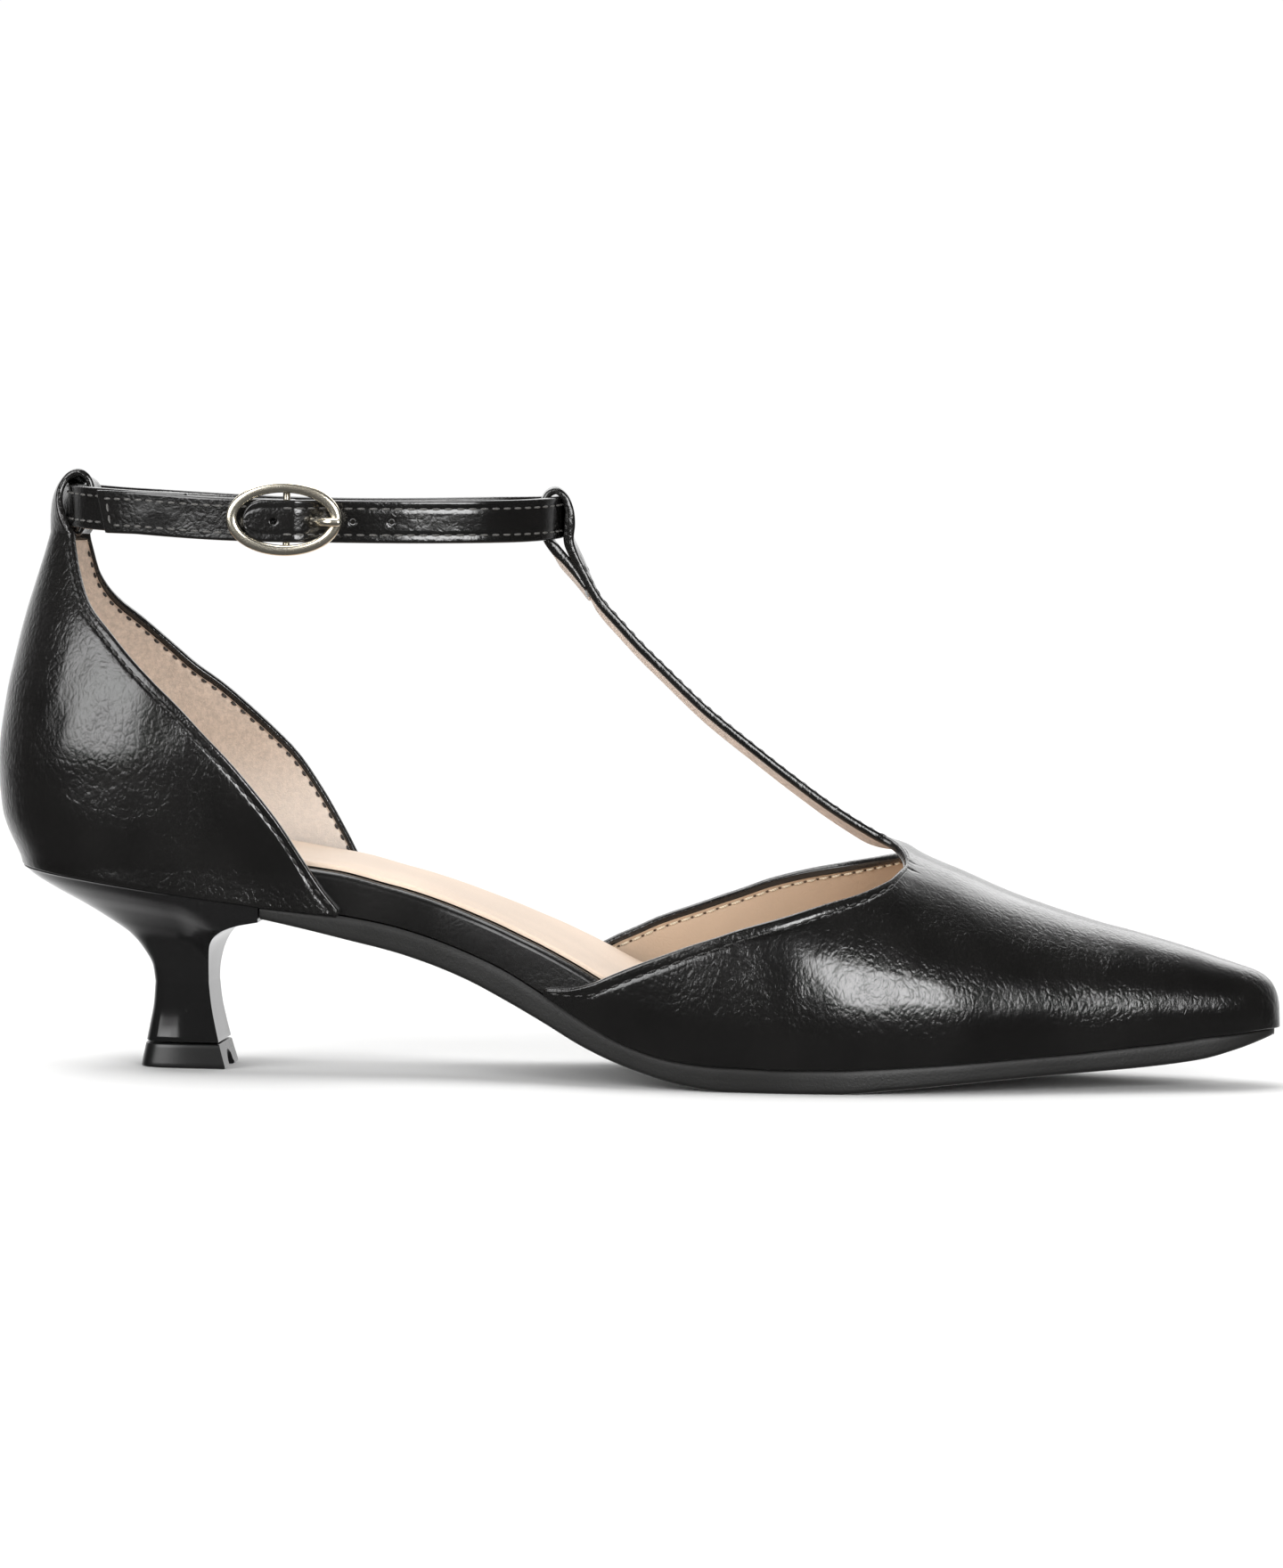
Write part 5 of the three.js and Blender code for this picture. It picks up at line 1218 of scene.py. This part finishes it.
# Ankle strap, buckle strap and buckle
ankleRows = [      # turn, up
    (-0.36, 0.05), (-0.28, -0.06), (-0.22, -0.07), (-0.10, -0.04), (0.00, 0.02), (0.12, -0.10),
    (0.25, -0.23), (0.38, -0.04), (0.50, 0.15), (0.60, 0.10), (0.72, 0.00),
]
buckle = {"at": 62.2, "length": 23.6, "height": 15.0, "raise": 0.45, "ring": 2.2, "deep": 1.8, "bar": 1.5, "prong": 1.7,
          "hole": 1.8, "pitch": 7.8, "strapWidth": 8.1, "ply": 0.9, "strapLength": 38}
ankleUp = column(ankleRows, 1)
ankleMiddle = (ankle["back"] + ankle["front"] + ankle["ahead"]) / 2
ankleRadius = (ankle["front"] + ankle["ahead"] - ankle["back"]) / 2
foldRadius = ankle["thick"] / 2 + shoe["gap"] + buckle["ply"] / 2
billetRise = foldRadius + buckle["ply"] / 2 + shoe["gap"] + ankle["thick"] / 2
ringRise = billetRise + shoe["gap"] * 2
billetTip = buckle["at"] - buckle["length"] / 2 + buckle["ring"] + 1.6


def anklePlace(turn):
    angle = turn * 2 * math.pi
    reach = lambda value: math.copysign(abs(value) ** (2 / ankle["power"]), value)
    return np.array([ankleMiddle + ankleRadius * reach(math.cos(angle)), ankle["half"] * reach(math.sin(angle)),
                     shoe["strapHeight"] + ankle["width"] * float(ankleUp(turn))])


def turnAt(x):
    share = min(abs((x - ankleMiddle) / ankleRadius), 1) ** (ankle["power"] / 2)
    return -math.acos(math.copysign(share, x - ankleMiddle)) / (2 * math.pi)


def ankleOut(turn):
    along = anklePlace(turn + 0.001) - anklePlace(turn - 0.001)
    along[2] = 0
    along /= np.linalg.norm(along)
    return np.array([along[1], -along[0], 0])


def billetLift(x):
    return billetRise * float(1 - fade(x, buckle["at"] + buckle["ring"] * 0.7, buckle["at"] + buckle["length"] * 0.365))


strapAcross = np.array([0, 0.3, 0.7, 1.1, 1.35, 1.6, 2.0, 2.4, 2.8, 3.2, 3.6, 4.0])


def acrossOf(width):
    half = strapAcross * width / 8
    return np.concatenate([-width / 2 + half, (width / 2 - half)[-2::-1]])


def strapRelief(verts, normals):
    return 0.025 * softNoise(verts, 0.35, 21) + 0.04 * softNoise(verts, 0.14, 22)


def ankleStrap():
    startTurn, endTurn = 1 + turnAt(buckle["at"] - buckle["strapLength"] * 0.55), turnAt(billetTip)
    fine = np.linspace(startTurn, endTurn, 1400)
    mid = np.array([anklePlace(t) for t in fine])
    run = np.concatenate([[0], np.cumsum(np.linalg.norm(np.diff(mid, axis=0), axis=1))])
    turns = np.interp(np.linspace(0, run[-1], int(run[-1] / 0.4)), run, fine)
    rows, outs = [], []
    for turn in turns:
        place, out = anklePlace(turn), ankleOut(turn)
        billet = turn < 0
        lift = billetLift(place[0]) if billet else 0
        toTip = max(place[0] - billetTip, 0) / (ankle["width"] / 2) if billet else 1
        width = ankle["width"] * math.sqrt(1 - max(1 - toTip, 0) ** 2 * 0.97)
        up = acrossOf(width)
        surface = place + out * (lift + ankle["thick"] / 2)
        rows.append(surface + np.outer(up, [0, 0, 1]))
        outs.append(out)
    rows, outs = np.array(rows), np.array(outs)
    sheet = Sheet()
    sheet.add(rows, ankle["thick"], None, flip=True)
    sheet.weld()
    holes = []
    for step in (0, 2, 3):
        x = buckle["at"] - 2.1 + buckle["pitch"] * step
        out = ankleOut(turnAt(x))
        centre = anklePlace(turnAt(x)) + out * (billetLift(x) + ankle["thick"] / 2)
        sheet.punch(centre, out, buckle["hole"] / 2)
        holes.append((centre, out))
    x = buckle["at"] - 2.1 + buckle["pitch"]
    out = ankleOut(turnAt(x))
    sheet.punch(anklePlace(turnAt(x)) + out * (billetLift(x) + ankle["thick"] / 2), out, buckle["prong"] / 2 + 0.25)
    groove = {}
    for k, row in enumerate(rows):
        cut = grooveAt(np.minimum(strapAcross[-1], 4 - np.abs(acrossOf(8.0))), ankle["stitchInset"], 0.1, 0.35)
        for p, g in zip(row, cut):
            groove[tuple(np.round(p, 3))] = g

    def relief(verts, normals):
        cut = np.array([groove.get(tuple(np.round(v, 3)), 0.0) for v in verts])
        return cut + strapRelief(verts, normals)

    piece = sheet.build("ankleStrapLong", [finishes["strap"], finishes["strap"]], ankle["rim"], 5, relief)
    keep(piece, "upper_leather", "ankle_strap")
    parts = []
    column_ = int(np.argmin(np.abs(strapAcross - ankle["stitchInset"])))
    for k in (column_, rows.shape[1] - 1 - column_):
        stitchRow(parts, rows[:-12, k], outs[:-12], ankle["stitchPitch"], ankle["stitchLength"], ankle["stitchRadius"], -0.03, 2)
    stitches("ankleStrapStitches", parts, finishes["strapThreadPaintedGlint"], "upper_leather", "ankle_strap")
    return holes


holes = ankleStrap()
print("ankle strap done")


def besideStrap(x, distance):
    return anklePlace(turnAt(x)) + ankleOut(turnAt(x)) * distance


def buckleStrap():
    end, at, ply = buckle["at"] - buckle["strapLength"], buckle["at"], buckle["ply"]
    steps = [(x, -foldRadius) for x in np.arange(end, at - 0.5, 0.5)] + [(at - 0.5, -foldRadius)]
    for angle in np.linspace(-math.pi / 2, math.pi / 2, 19):
        steps.append((at + foldRadius * math.cos(angle), foldRadius * math.sin(angle)))
    steps += [(x, foldRadius) for x in reversed([*np.arange(end, at - 0.5, 0.5), at - 0.5])]
    line = np.array([besideStrap(x, off) for x, off in steps])
    width = buckle["strapWidth"]
    rows, outs = [], []
    for k, place in enumerate(line):
        along = line[min(k + 1, len(line) - 1)] - line[max(k - 1, 0)]
        along[2] = 0
        along /= np.linalg.norm(along)
        out = np.array([-along[1], along[0], 0])
        slant = 0.3 * max(1 - (steps[k][0] - end) / 6, 0) * np.sign(along[0])
        up = acrossOf(width)
        row = place + out * ply / 2 + np.outer(up, [0, 0, 1]) - np.outer(up * slant, along)
        rows.append(row)
        outs.append(out)
    rows, outs = np.array(rows), np.array(outs)
    sheet = Sheet()
    sheet.add(rows, ply, None, flip=True)
    sheet.weld()
    middle = besideStrap(at, 0)
    inSlot = ((np.abs(sheet.points[:, 2] - middle[2]) < buckle["prong"] / 2 + 0.45)
              & (sheet.points[:, 0] > at + foldRadius - 1.7))
    gone = inSlot[sheet.faces].all(1)
    sheet.faces, sheet.band, sheet.face = sheet.faces[~gone], sheet.band[~gone], sheet.face[~gone]
    piece = sheet.build("buckleStrapFolded", [finishes["strap"], finishes["strap"]], 0.3, 4, strapRelief)
    keep(piece, "upper_leather", "buckle_strap")
    parts = []
    k0 = int(np.argmin(np.abs(strapAcross - 1.35)))
    half = len(rows) // 2 + 12
    for k in (k0, rows.shape[1] - 1 - k0):
        stitchRow(parts, rows[half:, k], outs[half:], ankle["stitchPitch"], ankle["stitchLength"], ankle["stitchRadius"], -0.02, 0.8)
    back = rows[-4, k0:rows.shape[1] - k0]
    stitchRow(parts, back, np.tile(outs[-4], (len(back), 1)), 2.4, 1.8, ankle["stitchRadius"], -0.02, 0)
    stitches("buckleStrapStitches", parts, finishes["strapThreadPaintedGlint"], "upper_leather", "buckle_strap")


buckleStrap()


def superSection(a, b, power, count):
    turn = (np.arange(count) + 0.5) / count * 2 * math.pi
    c, s = np.cos(turn), np.sin(turn)
    return np.sign(c) * np.abs(c) ** (2 / power) * a, np.sign(s) * np.abs(s) ** (2 / power) * b


def buckleFrame():
    middle = besideStrap(buckle["at"], ringRise) + [0, 0, buckle["raise"]]
    ru, rv = (buckle["length"] - buckle["ring"]) / 2, (buckle["height"] - buckle["ring"]) / 2
    rings = []
    for k in range(128):
        angle = k / 128 * 2 * math.pi
        along = np.array([-ru * math.sin(angle), 0, rv * math.cos(angle)])
        along /= np.linalg.norm(along)
        out = np.array([along[2], 0, -along[0]])
        place = middle + [ru * math.cos(angle), 0, rv * math.sin(angle)]
        a, b = superSection(buckle["ring"] / 2, buckle["deep"] / 2, 2.6, 20)
        rings.append(place + np.outer(a, out) + np.outer(b, [0, 1, 0]))
    ring = loft("buckleRing", rings, [finishes["gold"]], None, endless=True)
    keep(ring, "buckle_metal", "buckle_frame")
    foot = besideStrap(buckle["at"], 0)
    turn = np.arange(20) / 20 * 2 * math.pi
    bar = []
    for z in np.linspace(-rv - 0.3, rv + 0.3, 24):
        r = buckle["bar"] / 2
        bar.append(points(foot[0] + r * np.cos(turn), foot[1] + r * np.sin(turn), middle[2] + z))
    keep(loft("buckleBar", bar, [finishes["gold"]], None), "buckle_metal", "buckle_frame")
    for name, end in (("barPostLow", -1), ("barPostHigh", 1)):
        post = []
        for t in np.linspace(0, 1, 8):
            r = buckle["bar"] * mix(0.5, 0.42, math.sin(math.pi * t))
            post.append(points(foot[0] + r * np.cos(turn), mix(foot[1] - 0.1, middle[1], t),
                               middle[2] + end * rv + r * np.sin(turn)))
        keep(loft(name, post, [finishes["gold"]], None), "buckle_metal", "buckle_frame")


buckleFrame()


def prong():
    hook = buckle["bar"] / 2 + shoe["gap"] + buckle["prong"] / 2
    onRing = ringRise + buckle["deep"] / 2 + shoe["gap"] + buckle["prong"] / 2
    end, at, w = buckle["at"] + buckle["length"] / 2, buckle["at"], buckle["ring"]
    steps = [(at + hook * math.cos(math.radians(a)), hook * math.sin(math.radians(a))) for a in (-110, -80, -50, -20)]
    steps += [(at + hook * 1.6, hook * 0.2), (end - 3.3 * w, onRing * 0.16), (end - 2.75 * w, onRing * 0.4),
              (end - 2.2 * w, onRing * 0.68), (end - 1.6 * w, onRing * 0.89), (end - w, onRing),
              (end - w * 0.4, onRing), (end, onRing)]
    place = anklePlace(turnAt(at))
    knots = [Vector((x, place[1] - out, place[2])) for x, out in steps]
    padded = [knots[0] * 2 - knots[1], *knots, knots[-1] * 2 - knots[-2]]
    line = [np.array(catmull(*padded[k:k + 4], s)) for k in range(len(knots) - 1) for s in np.arange(6) / 6]
    line = np.array([*line, np.array(knots[-1])])
    tangent = np.gradient(line, axis=0)
    tangent /= np.linalg.norm(tangent, axis=1, keepdims=True)
    rings = []
    for k, (spot, along) in enumerate(zip(line, tangent)):
        side = np.array([0, 0, 1.0])
        out = np.cross(along, side)
        toEnd = min((len(line) - 1 - k) / 5, k / 4, 1)
        r = buckle["prong"] / 2 * (0.45 + 0.55 * math.sqrt(max(1 - (1 - toEnd) ** 2, 0)))
        a, b = superSection(r, r * 0.94, 2.3, 16)
        rings.append(spot + np.outer(a, side) + np.outer(b, out))
    keep(loft("buckleProng", rings, [finishes["gold"]], None), "buckle_metal", "buckle_prong")


prong()
print("buckle done")

# Floor, light and camera
stage = {"floor": 0.90, "table": 0.05, "top": 142, "left": 0.72, "leftWide": 3.2, "right": 18.5, "back": 9.5}


def floorPlane():
    mesh = bpy.data.meshes.new("studioFloor")
    mesh.from_pydata([(-5, -5, 0), (5, -5, 0), (5, 1.1, 0), (-5, 1.1, 0)], [], [(0, 1, 2, 3)])
    paint = Paint("paperFloor")
    fibre = paint.noise(paint.place(), 400, 2)
    pale = [tuple(stage["floor"] * k for k in tone) for tone in ((0.99, 0.99, 0.985), (1, 1, 0.995))]
    mesh.materials.append(paint.finish(Base_Color=paint.blend(fibre, *pale), Roughness=0.9 + fibre * 0.05,
                                       Specular_IOR_Level=0.1))
    floor = bpy.data.objects.new("studioFloor", mesh)
    scene.collection.objects.link(floor)
    floor.visible_glossy = False


floorPlane()


def softBox(name, place, target, size, power):
    light = bpy.data.lights.new(name, "AREA")
    light.shape, light.size, light.size_y, light.energy = "RECTANGLE", size[0], size[1], power
    lamp = bpy.data.objects.new(name, light)
    scene.collection.objects.link(lamp)
    lamp.location = place
    lamp.rotation_euler = (Vector(target) - Vector(place)).to_track_quat("-Z", "Y").to_euler()
    return lamp


centre = (0.0932, 0, 0.0597)


def lightPlace(azimuth, height, distance):      # place seen from the shoe: degrees left of the camera, degrees up
    turn, lift = math.radians(azimuth), math.radians(height)
    away = Vector((-math.sin(turn) * math.cos(lift), -math.cos(turn) * math.cos(lift), math.sin(lift)))
    return Vector(centre) + away * distance


softBox("topLight", lightPlace(115, 77, 4.0), centre, (3.2, 3.0), stage["top"])
softBox("leftLight", lightPlace(42, 18, 0.8), centre, (0.33, 0.34), stage["left"])
softBox("leftWide", lightPlace(42, 19, 0.85), centre, (0.62, 0.44), stage["leftWide"])
softBox("rightLight", lightPlace(-28, 16, 1.6), centre, (0.80, 0.66), stage["right"])
softBox("backLight", lightPlace(180, 31, 1.8), centre, (2.4, 0.9), stage["back"])


def skyWorld():      # white paper behind the shoe, dim room elsewhere
    world = bpy.data.worlds.new("studio")
    scene.world = world
    world.use_nodes = True
    tree = world.node_tree
    tree.nodes.clear()
    spot = tree.nodes.new("ShaderNodeTexCoord")
    parts = tree.nodes.new("ShaderNodeSeparateXYZ")
    tree.links.new(spot.outputs["Generated"], parts.inputs[0])
    ramp = tree.nodes.new("ShaderNodeMapRange")
    ramp.interpolation_type = "SMOOTHSTEP"
    for name, value in (("From Min", 0.25), ("From Max", 0.97), ("To Min", 0.03), ("To Max", 1.02)):
        ramp.inputs[name].default_value = value
    tree.links.new(parts.outputs["Y"], ramp.inputs["Value"])
    low = tree.nodes.new("ShaderNodeMapRange")      # what the table would give back to the gloss
    low.interpolation_type = "SMOOTHSTEP"
    for name, value in (("From Min", -0.05), ("From Max", -0.6), ("To Min", 0.0), ("To Max", stage["table"])):
        low.inputs[name].default_value = value
    tree.links.new(parts.outputs["Z"], low.inputs["Value"])
    total = tree.nodes.new("ShaderNodeMath")
    total.operation = "ADD"
    tree.links.new(ramp.outputs["Result"], total.inputs[0])
    tree.links.new(low.outputs["Result"], total.inputs[1])
    shade = tree.nodes.new("ShaderNodeBackground")
    shade.inputs["Color"].default_value = (1, 1, 1, 1)
    tree.links.new(total.outputs[0], shade.inputs["Strength"])
    out = tree.nodes.new("ShaderNodeOutputWorld")
    tree.links.new(shade.outputs[0], out.inputs[0])


skyWorld()
view = {"tilt": 3.6, "swing": 5.5, "roll": 0.75, "distance": 2.0, "frameWidth": 0.26294}


def setCamera():
    tilt, swing, roll = (math.radians(view[k]) for k in ("tilt", "swing", "roll"))
    away = Vector((math.sin(swing) * math.cos(tilt), -math.cos(swing) * math.cos(tilt), math.sin(tilt)))
    forward = -away
    right = forward.cross(Vector((0, 0, 1))).normalized()
    up = right.cross(forward)
    turnedRight = right * math.cos(roll) + up * math.sin(roll)
    turnedUp = up * math.cos(roll) - right * math.sin(roll)
    lens = bpy.data.cameras.new("photoView")
    lens.sensor_fit, lens.sensor_width = "HORIZONTAL", 36
    lens.lens = 36 * view["distance"] / view["frameWidth"]
    lens.clip_end = 50
    camera = bpy.data.objects.new("photoView", lens)
    scene.collection.objects.link(camera)
    spot = Vector(centre) + away * view["distance"]
    camera.matrix_world = Matrix(((turnedRight.x, turnedUp.x, away.x, spot.x), (turnedRight.y, turnedUp.y, away.y, spot.y),
                                  (turnedRight.z, turnedUp.z, away.z, spot.z), (0, 0, 0, 1)))
    scene.camera = camera


setCamera()
scene.view_settings.view_transform = "Standard"
print("stage done")
